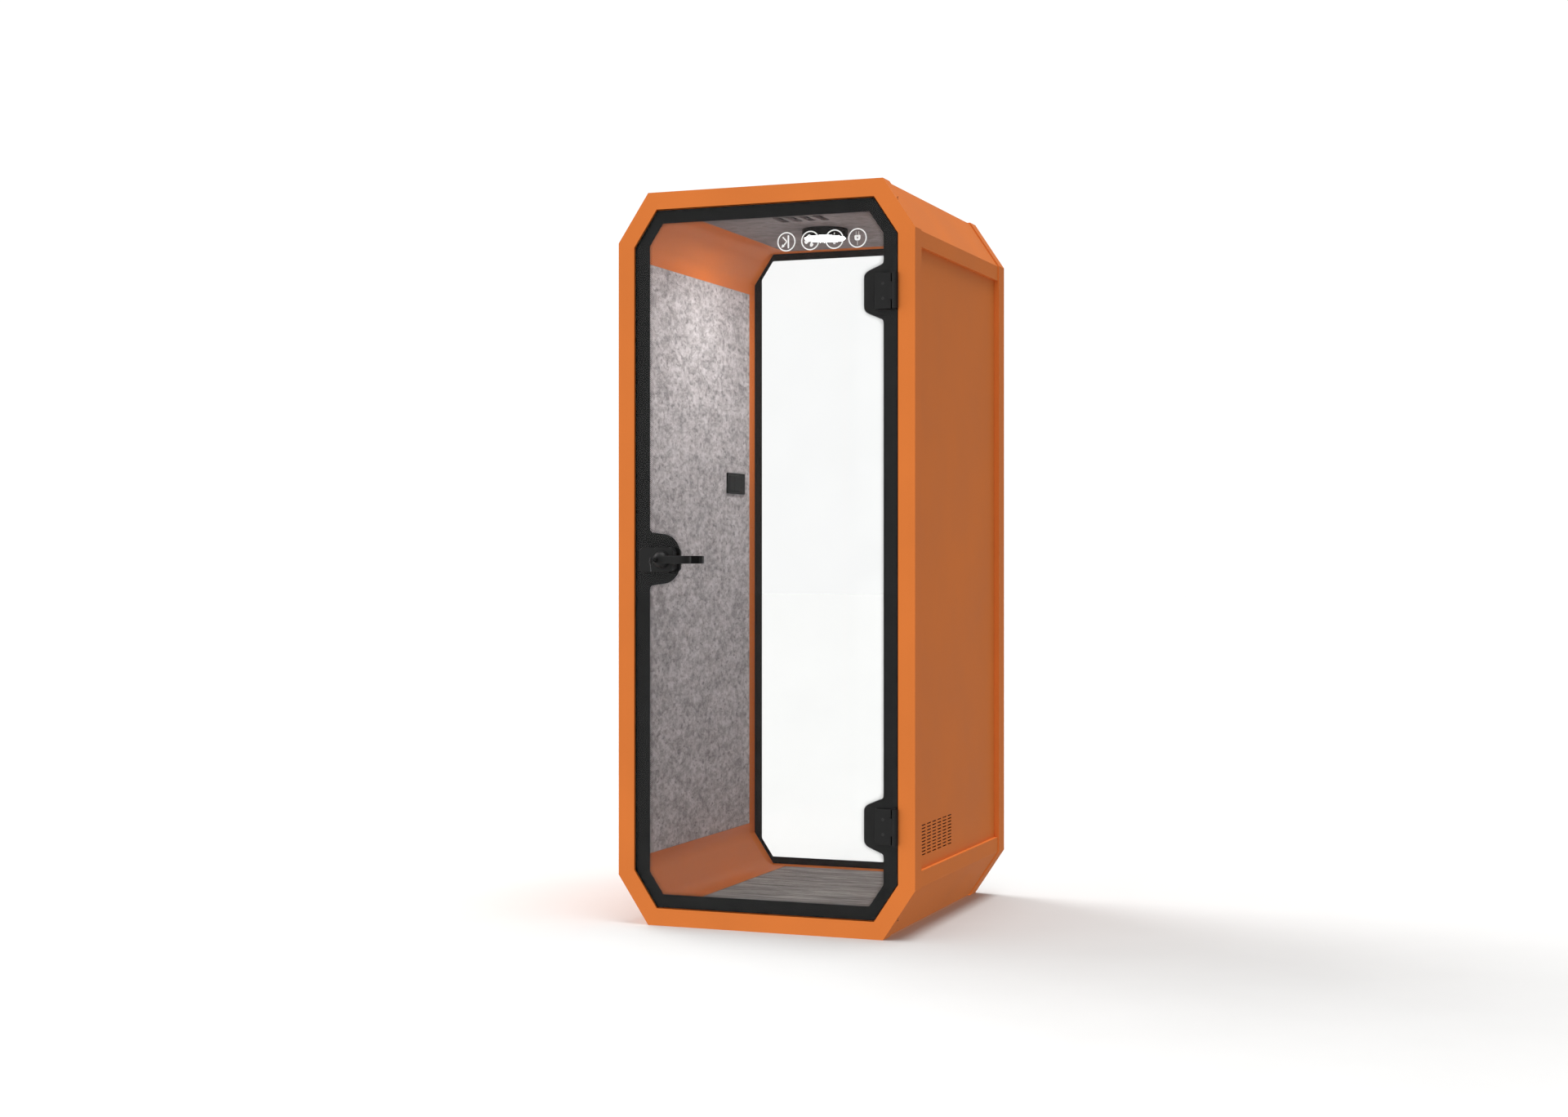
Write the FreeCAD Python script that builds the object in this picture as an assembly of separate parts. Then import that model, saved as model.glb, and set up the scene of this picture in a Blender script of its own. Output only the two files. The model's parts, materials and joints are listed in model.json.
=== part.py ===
import FreeCAD
import Part
import math
import os

# One-person office telephone booth: two folded-steel octagonal frames joined by a
# body of insulated walls, a fixed rear window and a glass door hinged on the right.
# Millimetres, +Z up, +Y from the door towards the rear window, +X to the right of
# somebody facing the door.  The origin is on the floor, midway across the booth and
# midway between the tip of the door key and the rear face.

os.makedirs("parts", exist_ok=True)
V = FreeCAD.Vector

# ---------------------------------------------------------------- overall sizes
booth_width = 980.0
booth_height = 2300.0
booth_depth = 1010.0
chamfer_across = 102.0        # corner cut, measured along the width
chamfer_down = 153.5          # corner cut, measured along the height

# ---------------------------------------------------------------- frames
frame_face = 53.5             # visible width of a frame around the glass
frame_section = 66.0          # width of the frame tube behind the glass
frame_depth = 64.5
frame_sheet = 2.0
rebate_depth = 16.0           # step that holds the glass and its seal
frame_flange = 24.0           # back flange of the frame, outer side
frame_inner_flange = 16.0     # back flange of the frame, cabin side

# ---------------------------------------------------------------- body between the frames
body_recess = 4.5             # body skin below the frames' outer edge
skin_sheet = 1.5
rail_height = 50.0            # straight part of a corner shell below its bend
panel_recess = 12.0           # side panel below the corner shells
panel_tuck = 14.0             # side panel behind a corner shell's hem
roof_strip = 60.0             # straight part of a corner shell on the roof or base
hem = 11.0                    # hem of a corner shell along its roof or base seam
seam = 0.3                    # open seam between two sheet parts
felt = 9.0
carpet_pile = 6.0
felt_from_floor = 211.0       # lower edge of the wall felt; the upper edge mirrors it
felt_inset = 200.0            # ceiling felt and carpet from the booth's side
liner_sheet = 1.5
liner_bend = 65.0             # inside radius of a liner's two bends
core_from_floor = 180.0
deck_inset = 150.0            # floor deck and roof core from the booth's side

# ---------------------------------------------------------------- side grille and air duct
grille_columns = 6
grille_rows = 10
grille_from_front = 120.0
grille_from_floor = 244.0
slot_length = 40.0
slot_pitch = 55.0
slot_height = 4.0
row_pitch = 10.0
duct_depth = 20.0
duct_margin = 6.0

# ---------------------------------------------------------------- glass, print and seals
glass = 8.0
glass_recess = 3.5            # glass behind the frame's face
glass_gap = 4.0               # gap between the glass edge and the frame
print_layer = 0.3
door_print_side = 103.3
door_print_top = 97.5
door_print_chamfer = 93.0
rear_print_side = 92.0
rear_print_top = 90.0
rear_print_chamfer = 77.0
seal_gap = 0.6
seal_inset = 0.5

# ---------------------------------------------------------------- hinges
hinge_from_end = 342.5        # hinge centre from the floor, and from the top
hinge_height = 108.0
hinge_axis_clear = 7.5        # hinge axis from the frame's inner edge
knuckle_sunk = 2.5            # knuckle behind the frame's face
knuckle_radius = 9.5
door_knuckle = 54.0
knuckle_gap = 0.5
leaf_thickness = 3.0
leaf_clear = 0.6              # frame leaf around the door's knuckle
leaf_plate_clear = 8.0        # door plate's right edge inside the frame's opening
leaf_plate_width = 51.0
leaf_plate_thickness = 9.5
web_thickness = 8.0
pin_radius = 3.0
pin_head = 1.5
running = 0.08                # radial clearance of a turning pin
seat = 0.05                   # radial clearance of a seated pin or screw
gasket = 1.0
clamp_thickness = 5.0
clamp_screw_radius = 2.5
clamp_screw_head = 4.6
clamp_screw_spread = 45.0
hex_socket_radius = 2.9
hex_socket_depth = 2.2
clamp_screw_inset = 26.0      # from the door plate's right edge
glass_hole_radius = 6.0
leaf_screw_radius = 2.0
leaf_screw_head = 3.4
leaf_screw_length = 14.0
leaf_screw_spread = 78.0
leaf_screw_depth = 9.5        # screw line behind the frame's face
plate_edge = 1.5

# ---------------------------------------------------------------- hinge and lock shields printed on the glass
shield_half_height = 85.5     # at the printed border
shield_narrowing = 26.5       # lost by the tip, above and below
shield_reach = 41.0           # tip beyond the hinge's plate
shield_corner = 25.0
lock_shield_half_height = 84.0
lock_shield_narrowing = 13.0
lock_shield_reach = 7.5       # tip beyond the lock's case
lock_shield_corner = 60.0
shield_root = 14.0            # hollow where a shield meets the border

# ---------------------------------------------------------------- lock and levers
lock_from_floor = 1147.5
lock_clear = 17.0             # lock case's left edge inside the frame's opening
case_width = 115.5
case_height = 76.5
case_outer_depth = 31.0
case_inner_depth = 30.2
case_corner = 16.0
case_edge = 2.5
case_wall = 2.5
lever_inset = 77.5            # lever axis from the case's left edge
rose_radius = 27.5
neck_radius = 8.5
nose_radius = 6.3
neck_root = 8.0               # neck inside the case
bar_stand_off = 38.5          # finger gap between the case and the bar
bar_thickness = 10.0
bar_height = 24.7
bar_root_height = 16.4
bar_taper = 26.0
lever_length = 104.0          # from the axis to the outside of the return
elbow_radius = 30.0
return_end = 10.5             # return beyond the elbow, towards the glass
bar_edge = 3.0
outer_nose = 22.0             # nose in front of the bar, holding the cylinder
inner_nose = 4.0
spindle_side = 8.0
spindle_play = 0.1
spindle_hole_radius = 12.0
case_screw_radius = 2.5
case_screw_spread = 50.0
case_screw_inset = 20.0
case_screw_hole_radius = 4.5

# ---------------------------------------------------------------- latch bolt and its magnetic keeper
bolt_thickness = 14.0
bolt_height = 20.0
bolt_length = 46.0
bolt_reach = 14.2             # bolt beyond the case
bolt_from_glass = 11.0
bolt_play = 0.4
keeper_thickness = 1.5
keeper_height = 44.0
keeper_width = 18.0
keeper_from_face = 20.0

# ---------------------------------------------------------------- key
plug_radius = 4.72
plug_play = 0.08
plug_length = 18.0
plug_set_back = 0.3
key_thickness = 1.8
key_blade_height = 6.8
key_blade_length = 16.0
key_slot_play = 0.1
bow_radius = 6.5
bow_stem = 4.5                # stem between the plug and the bow's middle
bow_hole_radius = 2.0
ring_radius = 5.5
ring_wire = 0.6
ring_rest = 0.3
spare_bow_radius = 5.5
spare_blade_width = 4.4
spare_blade_length = 18.5

# ---------------------------------------------------------------- ceiling lamp
lamp_x = 20.0
lamp_from_front = 505.0
lamp_radius = 75.0
lamp_drop = 29.0
lamp_wall = 2.5
lamp_edge = 5.0
diffuser_radius = 65.5
diffuser_proud = 3.0
led_board_radius = 62.0
led_board_thickness = 1.6

# ---------------------------------------------------------------- ceiling slots and fan
vent_x = 24.0
vent_from_front = 267.0
vent_slots = 4
vent_slot_width = 27.0
vent_slot_length = 105.0
vent_slot_pitch = 45.0
plenum_width = 196.0
plenum_length = 124.0
plenum_height = 9.0
plenum_wall = 2.0
fan_side = 120.0
fan_height = 25.0
fan_bore = 57.0
fan_hub_radius = 19.0
fan_tip_gap = 3.0
fan_blades = 7
fan_blade_thickness = 1.8
fan_blade_pitch = 35.0        # degrees
fan_blade_chord = 24.0
fan_pin_radius = 2.5
fan_spoke = 5.0
fan_plate = 3.0
fan_play = 1.0
fan_pocket_play = 2.0
exhaust_slots = 7
exhaust_slot_width = 6.0
exhaust_slot_length = 90.0
exhaust_slot_pitch = 14.0

# ---------------------------------------------------------------- wall plate with switches and outlet
plate_width = 155.0
plate_height = 72.0
plate_thickness = 7.0
plate_corner = 4.0
plate_from_front = 808.0
plate_from_floor = 1413.0
module_width = 44.0
module_height = 56.0
module_gap = 0.8
module_depth = 12.0
rocker_proud = 1.5
rocker_depth = 8.0
rocker_pin_radius = 1.5
rocker_pin_reach = 10.0
rocker_play = 0.5
ear_spread = 6.5
ear_thickness = 3.0
ear_radius = 3.0
carrier_sheet = 1.5
back_box_width = 140.0
back_box_height = 62.0
back_box_depth = 34.0
back_box_wall = 1.5
outlet_pin_width = 2.2
outlet_pin_height = 7.0
outlet_pin_spread = 12.7

# ---------------------------------------------------------------- mains inlet on the roof
inlet_x = -230.0
inlet_from_front = 860.0
inlet_width = 48.0
inlet_length = 36.0
inlet_flange = 2.5
inlet_body_width = 30.0
inlet_body_length = 24.0
inlet_body_depth = 28.0
inlet_socket_width = 24.5
inlet_socket_length = 17.0
inlet_socket_depth = 20.0
inlet_blade_width = 2.0
inlet_blade_length = 4.0
inlet_blade_height = 15.0
inlet_blade_spread = 7.0

# ---------------------------------------------------------------- places that follow from the sizes
half_width = booth_width / 2
case_left = -half_width + frame_section + lock_clear
lever_x = case_left + lever_inset
case_front = glass_recess - case_outer_depth
bar_back = case_front - bar_stand_off
bar_front = bar_back - bar_thickness
nose_tip = bar_front - outer_nose
bow_centre = nose_tip + plug_set_back - bow_stem - bow_radius
key_tip = bow_centre - bow_radius
origin_depth = (booth_depth + key_tip) / 2
body_front = frame_depth
body_rear = booth_depth - frame_depth
glass_back = glass_recess + glass
glass_offset = frame_face + glass_gap
cabin_half = half_width - frame_section
cabin_top = booth_height - frame_section
cabin_floor = frame_section
core_outer = half_width - body_recess - panel_recess - skin_sheet
core_inner = cabin_half + felt
roof_top = booth_height - body_recess
roof_under = roof_top - skin_sheet
core_bottom = cabin_top + felt
hinge_x = half_width - frame_face - hinge_axis_clear
hinge_axis_proud = knuckle_radius - knuckle_sunk
leaf_right = half_width - frame_face
plate_right = half_width - frame_section - leaf_plate_clear
plate_left = plate_right - leaf_plate_width
case_right = case_left + case_width
case_bottom = lock_from_floor - case_height / 2
case_back = glass_back + print_layer + case_inner_depth
seam_x = half_width - chamfer_across - roof_strip
felt_top = booth_height - felt_from_floor
felt_half_width = half_width - felt_inset
deck_half_width = half_width - deck_inset


# ---------------------------------------------------------------- shape helpers
def at(x, depth, z):
    """A point given by its depth behind the frame's front face."""
    return V(x, depth - origin_depth, z)


def block(x0, x1, d0, d1, z0, z1):
    return Part.makeBox(x1 - x0, d1 - d0, z1 - z0, at(x0, d0, z0))


def rod(x, depth, z, radius, length, direction):
    return Part.makeCylinder(radius, length, at(x, depth, z), direction)


def joined(shapes):
    whole = shapes[0].multiFuse(shapes[1:]) if len(shapes) > 1 else shapes[0]
    return whole.removeSplitter()


def without(shape, cutters):
    return shape.cut(Part.makeCompound(cutters))


def mirrored_x(shape):
    return shape.mirror(V(0, 0, 0), V(1, 0, 0))


def mirrored_z(shape):
    return shape.mirror(V(0, 0, booth_height / 2), V(0, 0, 1))


def mirrored_depth(shape, depth):
    return shape.mirror(at(0, depth, 0), V(0, 1, 0))


def prism(points, d0, d1):
    """A flat outline of (x, z) points, carried from one depth to another."""
    corners = [at(x, d0, z) for x, z in points]
    face = Part.Face(Part.makePolygon(corners + corners[:1]))
    return face.extrude(V(0, d1 - d0, 0))


def corner_cut(side, level, chamfer):
    """Where the chamfer, set in by its own offset, meets the side and the top."""
    slope = math.hypot(chamfer_across, chamfer_down)
    normal_x = chamfer_down / slope
    normal_z = chamfer_across / slope
    reach = chamfer_across * chamfer_down / slope + chamfer
    across = (reach - normal_z * level) / normal_x
    down = (reach - normal_x * side) / normal_z
    return across, down


def octagon(side, level=None, chamfer=None):
    """The booth's outline set in from the sides, from top and floor, and at the chamfers."""
    level = side if level is None else level
    chamfer = side if chamfer is None else chamfer
    across, down = corner_cut(side, level, chamfer)
    quarter = [(half_width - side, booth_height - down), (half_width - across, booth_height - level)]
    left = [(-x, z) for x, z in reversed(quarter)]
    upper = quarter + left
    lower = [(x, booth_height - z) for x, z in reversed(upper)]
    return upper + lower


def ring(outer, inner, d0, d1):
    return prism(outer, d0, d1).cut(prism(inner, d0, d1))


def rounded_plate(x0, x1, z0, z1, d0, d1, corner):
    plate = block(x0, x1, d0, d1, z0, z1)
    upright = [e for e in plate.Edges if abs(e.BoundBox.YLength - (d1 - d0)) < 0.01]
    return plate.makeFillet(corner, upright)


def soften(shape, depth, radius):
    """Rounds the edges that lie at one depth, such as the front of a case."""
    y = depth - origin_depth
    rim = [e for e in shape.Edges if abs(e.BoundBox.YMin - y) < 0.01 and abs(e.BoundBox.YMax - y) < 0.01]
    return shape.makeFillet(radius, rim)


def bend(before, corner, after, radius):
    """Tangent points and middle of the arc that rounds one corner of a path."""
    first = (before - corner).normalize()
    second = (after - corner).normalize()
    half_angle = first.getAngle(second) / 2
    tangent = radius / math.tan(half_angle)
    middle = (first + second).normalize() * (radius / math.sin(half_angle) - radius)
    return corner + first * tangent, corner + middle, corner + second * tangent


# ---------------------------------------------------------------- frames
def octagon_frame():
    """Lipped tube of folded sheet, with a rebate at the front for the glass."""
    body = ring(octagon(0), octagon(frame_section), 0, frame_depth)
    rebate = prism(octagon(frame_face), 0, rebate_depth)
    sheet = frame_sheet
    hollow_front = ring(octagon(sheet), octagon(frame_face - sheet), sheet, frame_depth - sheet)
    hollow_back = ring(octagon(frame_face - sheet), octagon(frame_section - sheet),
                       rebate_depth + sheet, frame_depth - sheet)
    mouth = ring(octagon(frame_flange), octagon(frame_section - frame_inner_flange),
                 frame_depth - sheet, frame_depth)
    return without(body, [rebate, hollow_front, hollow_back, mouth])


def leaf_screw_places():
    for centre in hinge_centres:
        for side in (-1, 1):
            yield centre + side * leaf_screw_spread / 2


hinge_centres = (hinge_from_end, booth_height - hinge_from_end)


def front_frame():
    holes = []
    for z in leaf_screw_places():
        hole = leaf_screw_radius + seat
        holes.append(rod(leaf_right, leaf_screw_depth, z, hole, frame_sheet * 2, V(1, 0, 0)))
    return without(octagon_frame(), holes)


def rear_frame():
    return mirrored_depth(octagon_frame(), booth_depth / 2)


# ---------------------------------------------------------------- body skin
def corner_shell():
    """Upper right shell: roof strip, chamfer and side rail folded from one sheet."""
    skin = ring(octagon(body_recess), octagon(body_recess + skin_sheet), body_front, body_rear)
    rail_end = booth_height - chamfer_down - rail_height
    strip = block(seam_x, half_width, body_front, body_rear, rail_end, booth_height)
    shell = skin.common(strip)
    panel_face = half_width - body_recess - panel_recess
    rail_hem = block(panel_face, half_width - body_recess, body_front, body_rear,
                     rail_end, rail_end + skin_sheet)
    roof_hem = block(seam_x, seam_x + skin_sheet, body_front, body_rear, roof_top - hem, roof_top)
    return joined([shell, rail_hem, roof_hem])


def flat_skin():
    """Roof panel between the two upper shells, its long edges turned in."""
    edge = seam_x - seam
    sheet = block(-edge, edge, body_front, body_rear, roof_under, roof_top)
    hems = [block(-edge, -edge + skin_sheet, body_front, body_rear, roof_top - hem, roof_top)]
    hems.append(mirrored_x(hems[0]))
    return joined([sheet] + hems)


def exhaust_openings():
    first = vent_x - (exhaust_slots - 1) / 2 * exhaust_slot_pitch
    cuts = []
    for index in range(exhaust_slots):
        x = first + index * exhaust_slot_pitch
        cuts.append(block(x - exhaust_slot_width / 2, x + exhaust_slot_width / 2,
                          vent_from_front - exhaust_slot_length / 2,
                          vent_from_front + exhaust_slot_length / 2, roof_under - 1, roof_top + 1))
    return cuts


def roof_panel():
    mouth = block(inlet_x - inlet_body_width / 2 - seam, inlet_x + inlet_body_width / 2 + seam,
                  inlet_from_front - inlet_body_length / 2 - seam,
                  inlet_from_front + inlet_body_length / 2 + seam, roof_under - 1, roof_top + 1)
    return without(flat_skin(), exhaust_openings() + [mouth])


def base_pan():
    return mirrored_z(flat_skin())


def side_panel():
    """Right side panel, tucked behind the hems of the shells above and below it."""
    outer = core_outer + skin_sheet
    low = chamfer_down + rail_height - panel_tuck
    return block(core_outer, outer, body_front, body_rear, low, booth_height - low)


def right_side_panel():
    slots = []
    for column in range(grille_columns):
        for row in range(grille_rows):
            depth = grille_from_front + column * slot_pitch
            z = grille_from_floor + row * row_pitch
            slots.append(block(core_outer - 1, half_width, depth, depth + slot_length, z, z + slot_height))
    return without(side_panel(), slots)


# ---------------------------------------------------------------- insulation
def wall_core():
    return block(core_inner, core_outer, body_front, body_rear,
                 core_from_floor, booth_height - core_from_floor)


def right_wall_core():
    """The right core has an air duct from the side grille up to the roof space."""
    length = (grille_columns - 1) * slot_pitch + slot_length
    duct = block(core_outer - duct_depth, core_outer,
                 grille_from_front - duct_margin, grille_from_front + length + duct_margin,
                 grille_from_floor - duct_margin, booth_height - core_from_floor)
    return wall_core().cut(duct)


def back_box_pocket():
    half = back_box_width / 2
    return block(-core_inner - back_box_depth + felt, -cabin_half, plate_from_front - half,
                 plate_from_front + half, plate_from_floor - back_box_height / 2,
                 plate_from_floor + back_box_height / 2)


def left_wall_core():
    return mirrored_x(wall_core()).cut(back_box_pocket())


def fan_pocket():
    half = fan_side / 2 + fan_pocket_play
    return block(vent_x - half, vent_x + half, vent_from_front - half, vent_from_front + half,
                 core_bottom, roof_under)


def plenum_pocket():
    return block(vent_x - plenum_width / 2 - seam, vent_x + plenum_width / 2 + seam,
                 vent_from_front - plenum_length / 2 - seam, vent_from_front + plenum_length / 2 + seam,
                 core_bottom, core_bottom + plenum_height)


def inlet_pocket():
    return block(inlet_x - inlet_body_width / 2 - seam, inlet_x + inlet_body_width / 2 + seam,
                 inlet_from_front - inlet_body_length / 2 - seam,
                 inlet_from_front + inlet_body_length / 2 + seam,
                 roof_top - inlet_body_depth, roof_under)


def roof_core():
    board = block(-deck_half_width, deck_half_width, body_front, body_rear, core_bottom, roof_under)
    hem_room = []
    for side in (-1, 1):
        x = side * seam_x
        reach = skin_sheet + seam * 2
        hem_room.append(block(x - reach, x + reach, body_front, body_rear, roof_top - hem - seam, roof_under))
    return without(board, hem_room + [fan_pocket(), plenum_pocket(), inlet_pocket()])


def floor_deck():
    low = body_recess + skin_sheet
    board = block(-deck_half_width, deck_half_width, body_front, body_rear, low, cabin_floor - carpet_pile)
    hem_room = []
    for side in (-1, 1):
        x = side * seam_x
        reach = skin_sheet + seam * 2
        hem_room.append(block(x - reach, x + reach, body_front, body_rear, low, body_recess + hem + seam))
    return without(board, hem_room)


# ---------------------------------------------------------------- cabin lining
def felt_panel():
    return block(cabin_half, core_inner, body_front, body_rear, felt_from_floor, felt_top)


def left_felt_panel():
    return mirrored_x(felt_panel()).cut(back_box_pocket())


def vent_openings(z0, z1):
    first = vent_x - (vent_slots - 1) / 2 * vent_slot_pitch
    cuts = []
    for index in range(vent_slots):
        x = first + index * vent_slot_pitch
        cuts.append(rounded_vent(x, z0, z1))
    return cuts


def rounded_vent(x, z0, z1):
    half = vent_slot_width / 2
    straight = vent_slot_length / 2 - half
    middle = block(x - half, x + half, vent_from_front - straight, vent_from_front + straight, z0, z1)
    ends = []
    for side in (-1, 1):
        ends.append(rod(x, vent_from_front + side * straight, z0, half, z1 - z0, V(0, 0, 1)))
    return joined([middle] + ends)


def ceiling_felt_panel():
    board = block(-felt_half_width, felt_half_width, body_front, body_rear, cabin_top, core_bottom)
    return without(board, vent_openings(cabin_top - 1, core_bottom + 1))


def carpet():
    return block(-felt_half_width, felt_half_width, body_front, body_rear,
                 cabin_floor - carpet_pile, cabin_floor)


def liner_edges(offset, radius):
    """Wall strip, bend, chamfer, bend and ceiling strip, on one surface of the sheet."""
    across, down = corner_cut(offset, offset, offset)
    start = at(half_width - offset, body_front, felt_top)
    low = at(half_width - offset, body_front, booth_height - down)
    high = at(half_width - across, body_front, booth_height - offset)
    end = at(felt_half_width, body_front, booth_height - offset)
    a, b, c = bend(start, low, high, radius)
    d, e, f = bend(low, high, end, radius)
    edges = [Part.LineSegment(start, a).toShape(), Part.Arc(a, b, c).toShape()]
    edges += [Part.LineSegment(c, d).toShape(), Part.Arc(d, e, f).toShape()]
    edges.append(Part.LineSegment(f, end).toShape())
    return start, edges, end


def corner_liner():
    """Upper right liner, with a hem at each long edge that stands on the core behind."""
    inner_start, inner_edges, inner_end = liner_edges(frame_section, liner_bend)
    outer_start, outer_edges, outer_end = liner_edges(frame_section - liner_sheet, liner_bend + liner_sheet)
    caps = [Part.LineSegment(inner_start, outer_start).toShape()]
    caps.append(Part.LineSegment(inner_end, outer_end).toShape())
    outline = Part.Wire(Part.__sortEdges__(inner_edges + outer_edges + caps))
    sheet = Part.Face(outline).extrude(V(0, body_rear - body_front, 0))
    wall_hem = block(cabin_half, core_inner, body_front, body_rear, felt_top, felt_top + liner_sheet)
    roof_hem = block(felt_half_width, felt_half_width + liner_sheet, body_front, body_rear,
                     cabin_top, core_bottom)
    return joined([sheet, wall_hem, roof_hem])


def lower_liner():
    """The lower liner's floor hem stands on the deck, which is nearer than the roof core."""
    turned = mirrored_z(corner_liner())
    deck_top = cabin_floor - carpet_pile
    surplus = block(felt_half_width - 1, felt_half_width + liner_sheet + 1, body_front, body_rear,
                    cabin_floor - felt - 1, deck_top)
    return turned.cut(surplus)


# ---------------------------------------------------------------- glazing
def print_shield(centre_z, half_height, narrowing, tip, corner):
    """Printed patch behind a hinge or the lock: hollow roots at the border and a rounded tip."""
    edge = half_width - door_print_side
    rise = half_height + shield_root

    def spot(x, height):
        return at(x, glass_back, centre_z + height)

    path = [spot(edge, rise), spot(edge, half_height), spot(tip, half_height - narrowing)]
    path += [spot(tip, narrowing - half_height), spot(edge, -half_height), spot(edge, -rise)]
    radii = (shield_root, corner, corner, shield_root)
    edges = []
    last = path[0]
    for index, radius in enumerate(radii, 1):
        first, middle, end = bend(path[index - 1], path[index], path[index + 1], radius)
        edges += [Part.LineSegment(last, first).toShape(), Part.Arc(first, middle, end).toShape()]
        last = end
    overlap = [last, path[-1], spot(edge + shield_root, -rise), spot(edge + shield_root, rise), path[0]]
    edges += [Part.LineSegment(p, q).toShape() for p, q in zip(overlap, overlap[1:])]
    outline = Part.Wire(Part.__sortEdges__(edges))
    return Part.Face(outline).extrude(V(0, print_layer, 0))


def door_glass_print():
    border = ring(octagon(glass_offset), octagon(door_print_side, door_print_top, door_print_chamfer),
                  glass_back, glass_back + print_layer)
    patches = []
    for z in hinge_centres:
        patches.append(print_shield(z, shield_half_height, shield_narrowing,
                                    plate_left - shield_reach, shield_corner))
    lock_tip = -case_right - lock_shield_reach
    patches.append(mirrored_x(print_shield(booth_height / 2, lock_shield_half_height, lock_shield_narrowing,
                                           lock_tip, lock_shield_corner)))
    return without(joined([border] + patches), door_glass_holes())


def door_glass_holes():
    holes = []
    for z in clamp_screw_places():
        holes.append(rod(clamp_screw_x, 0, z, glass_hole_radius, booth_depth / 2, V(0, 1, 0)))
    holes.append(rod(lever_x, 0, lock_from_floor, spindle_hole_radius, booth_depth / 2, V(0, 1, 0)))
    for x, z in case_screw_places():
        holes.append(rod(x, 0, z, case_screw_hole_radius, booth_depth / 2, V(0, 1, 0)))
    return holes


clamp_screw_x = plate_right - clamp_screw_inset


def clamp_screw_places():
    for centre in hinge_centres:
        for side in (-1, 1):
            yield centre + side * clamp_screw_spread / 2


def case_screw_places():
    x = case_left + case_screw_inset
    return [(x, lock_from_floor - case_screw_spread / 2), (x, lock_from_floor + case_screw_spread / 2)]


def door_glass():
    return without(prism(octagon(glass_offset), glass_recess, glass_back), door_glass_holes())


def rear_glass():
    return prism(octagon(glass_offset), booth_depth - glass_back, booth_depth - glass_recess)


def rear_glass_print():
    return ring(octagon(glass_offset), octagon(rear_print_side, rear_print_top, rear_print_chamfer),
                booth_depth - glass_back - print_layer, booth_depth - glass_back)


def seal_ring(d0, d1):
    return ring(octagon(glass_offset + seal_inset), octagon(frame_section - seal_inset), d0, d1)


def door_seal():
    return seal_ring(glass_back + print_layer + seal_gap, rebate_depth)


def rear_glass_gasket():
    return seal_ring(booth_depth - rebate_depth, booth_depth - glass_back - print_layer)


# ---------------------------------------------------------------- hinges
def knuckle(z0, z1, bore):
    barrel = rod(hinge_x, -hinge_axis_proud, z0, knuckle_radius, z1 - z0, V(0, 0, 1))
    return barrel.cut(rod(hinge_x, -hinge_axis_proud, z0, bore, z1 - z0, V(0, 0, 1)))


def hinge_frame_leaf(centre):
    """Two end knuckles and the leaf that is screwed to the frame's rebate."""
    half = hinge_height / 2
    inner = door_knuckle / 2 + knuckle_gap
    leaf = block(leaf_right - leaf_thickness, leaf_right, -hinge_axis_proud, rebate_depth - knuckle_gap,
                 centre - half, centre + half)
    sweep = rod(hinge_x, -hinge_axis_proud, centre - inner, knuckle_radius + leaf_clear, inner * 2, V(0, 0, 1))
    pin_room = rod(hinge_x, -hinge_axis_proud, centre - half, pin_radius + seat, hinge_height, V(0, 0, 1))
    knuckles = [knuckle(centre - half, centre - inner, pin_radius + seat),
                knuckle(centre + inner, centre + half, pin_radius + seat)]
    proud = block(leaf_right, leaf_right + knuckle_radius, 0, knuckle_radius, centre - half, centre + half)
    screws = []
    for side in (-1, 1):
        z = centre + side * leaf_screw_spread / 2
        screws.append(leaf_screw(z, seat))
    return without(joined([leaf.cut(sweep)] + knuckles), [pin_room, proud] + screws)


def leaf_screw(z, grow):
    """Countersunk screw through a frame leaf into the frame."""
    left = leaf_right - leaf_thickness
    shank = rod(left, leaf_screw_depth, z, leaf_screw_radius + grow, leaf_screw_length, V(1, 0, 0))
    head = Part.makeCone(leaf_screw_head + grow, leaf_screw_radius + grow, leaf_thickness / 2,
                         at(left, leaf_screw_depth, z), V(1, 0, 0))
    return joined([shank, head])


def door_plate(centre, d0, d1):
    return rounded_plate(plate_left, plate_right, centre - hinge_height / 2, centre + hinge_height / 2,
                         d0, d1, plate_edge)


def clamp_screw(z, grow):
    """Screw from the door leaf through the glass into the clamp plate."""
    front = glass_recess - gasket - leaf_plate_thickness
    back = glass_back + print_layer + gasket + clamp_thickness
    shank = rod(clamp_screw_x, front, z, clamp_screw_radius + grow, back - front - seat, V(0, 1, 0))
    head = rod(clamp_screw_x, front, z, clamp_screw_head + grow, leaf_thickness, V(0, 1, 0))
    return joined([shank, head])


def hinge_screw_sinks(centre):
    return [clamp_screw(centre + side * clamp_screw_spread / 2, seat) for side in (-1, 1)]


def hinge_door_leaf(centre):
    """Door plate with the middle knuckle."""
    back = glass_recess - gasket
    front = back - leaf_plate_thickness
    half = door_knuckle / 2
    plate = soften(door_plate(centre, front, back), front, plate_edge)
    web = block(plate_right - web_thickness, hinge_x, -hinge_axis_proud - web_thickness / 2,
                -hinge_axis_proud + web_thickness / 2, centre - half, centre + half)
    bore = rod(hinge_x, -hinge_axis_proud, centre - half, pin_radius + running, door_knuckle, V(0, 0, 1))
    barrel = knuckle(centre - half, centre + half, pin_radius + running)
    return without(joined([plate, web.cut(bore), barrel]), [bore] + hinge_screw_sinks(centre))


def hinge_clamp_plate(centre):
    front = glass_back + print_layer + gasket
    plate = door_plate(centre, front, front + clamp_thickness)
    return without(plate, hinge_screw_sinks(centre))


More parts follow.
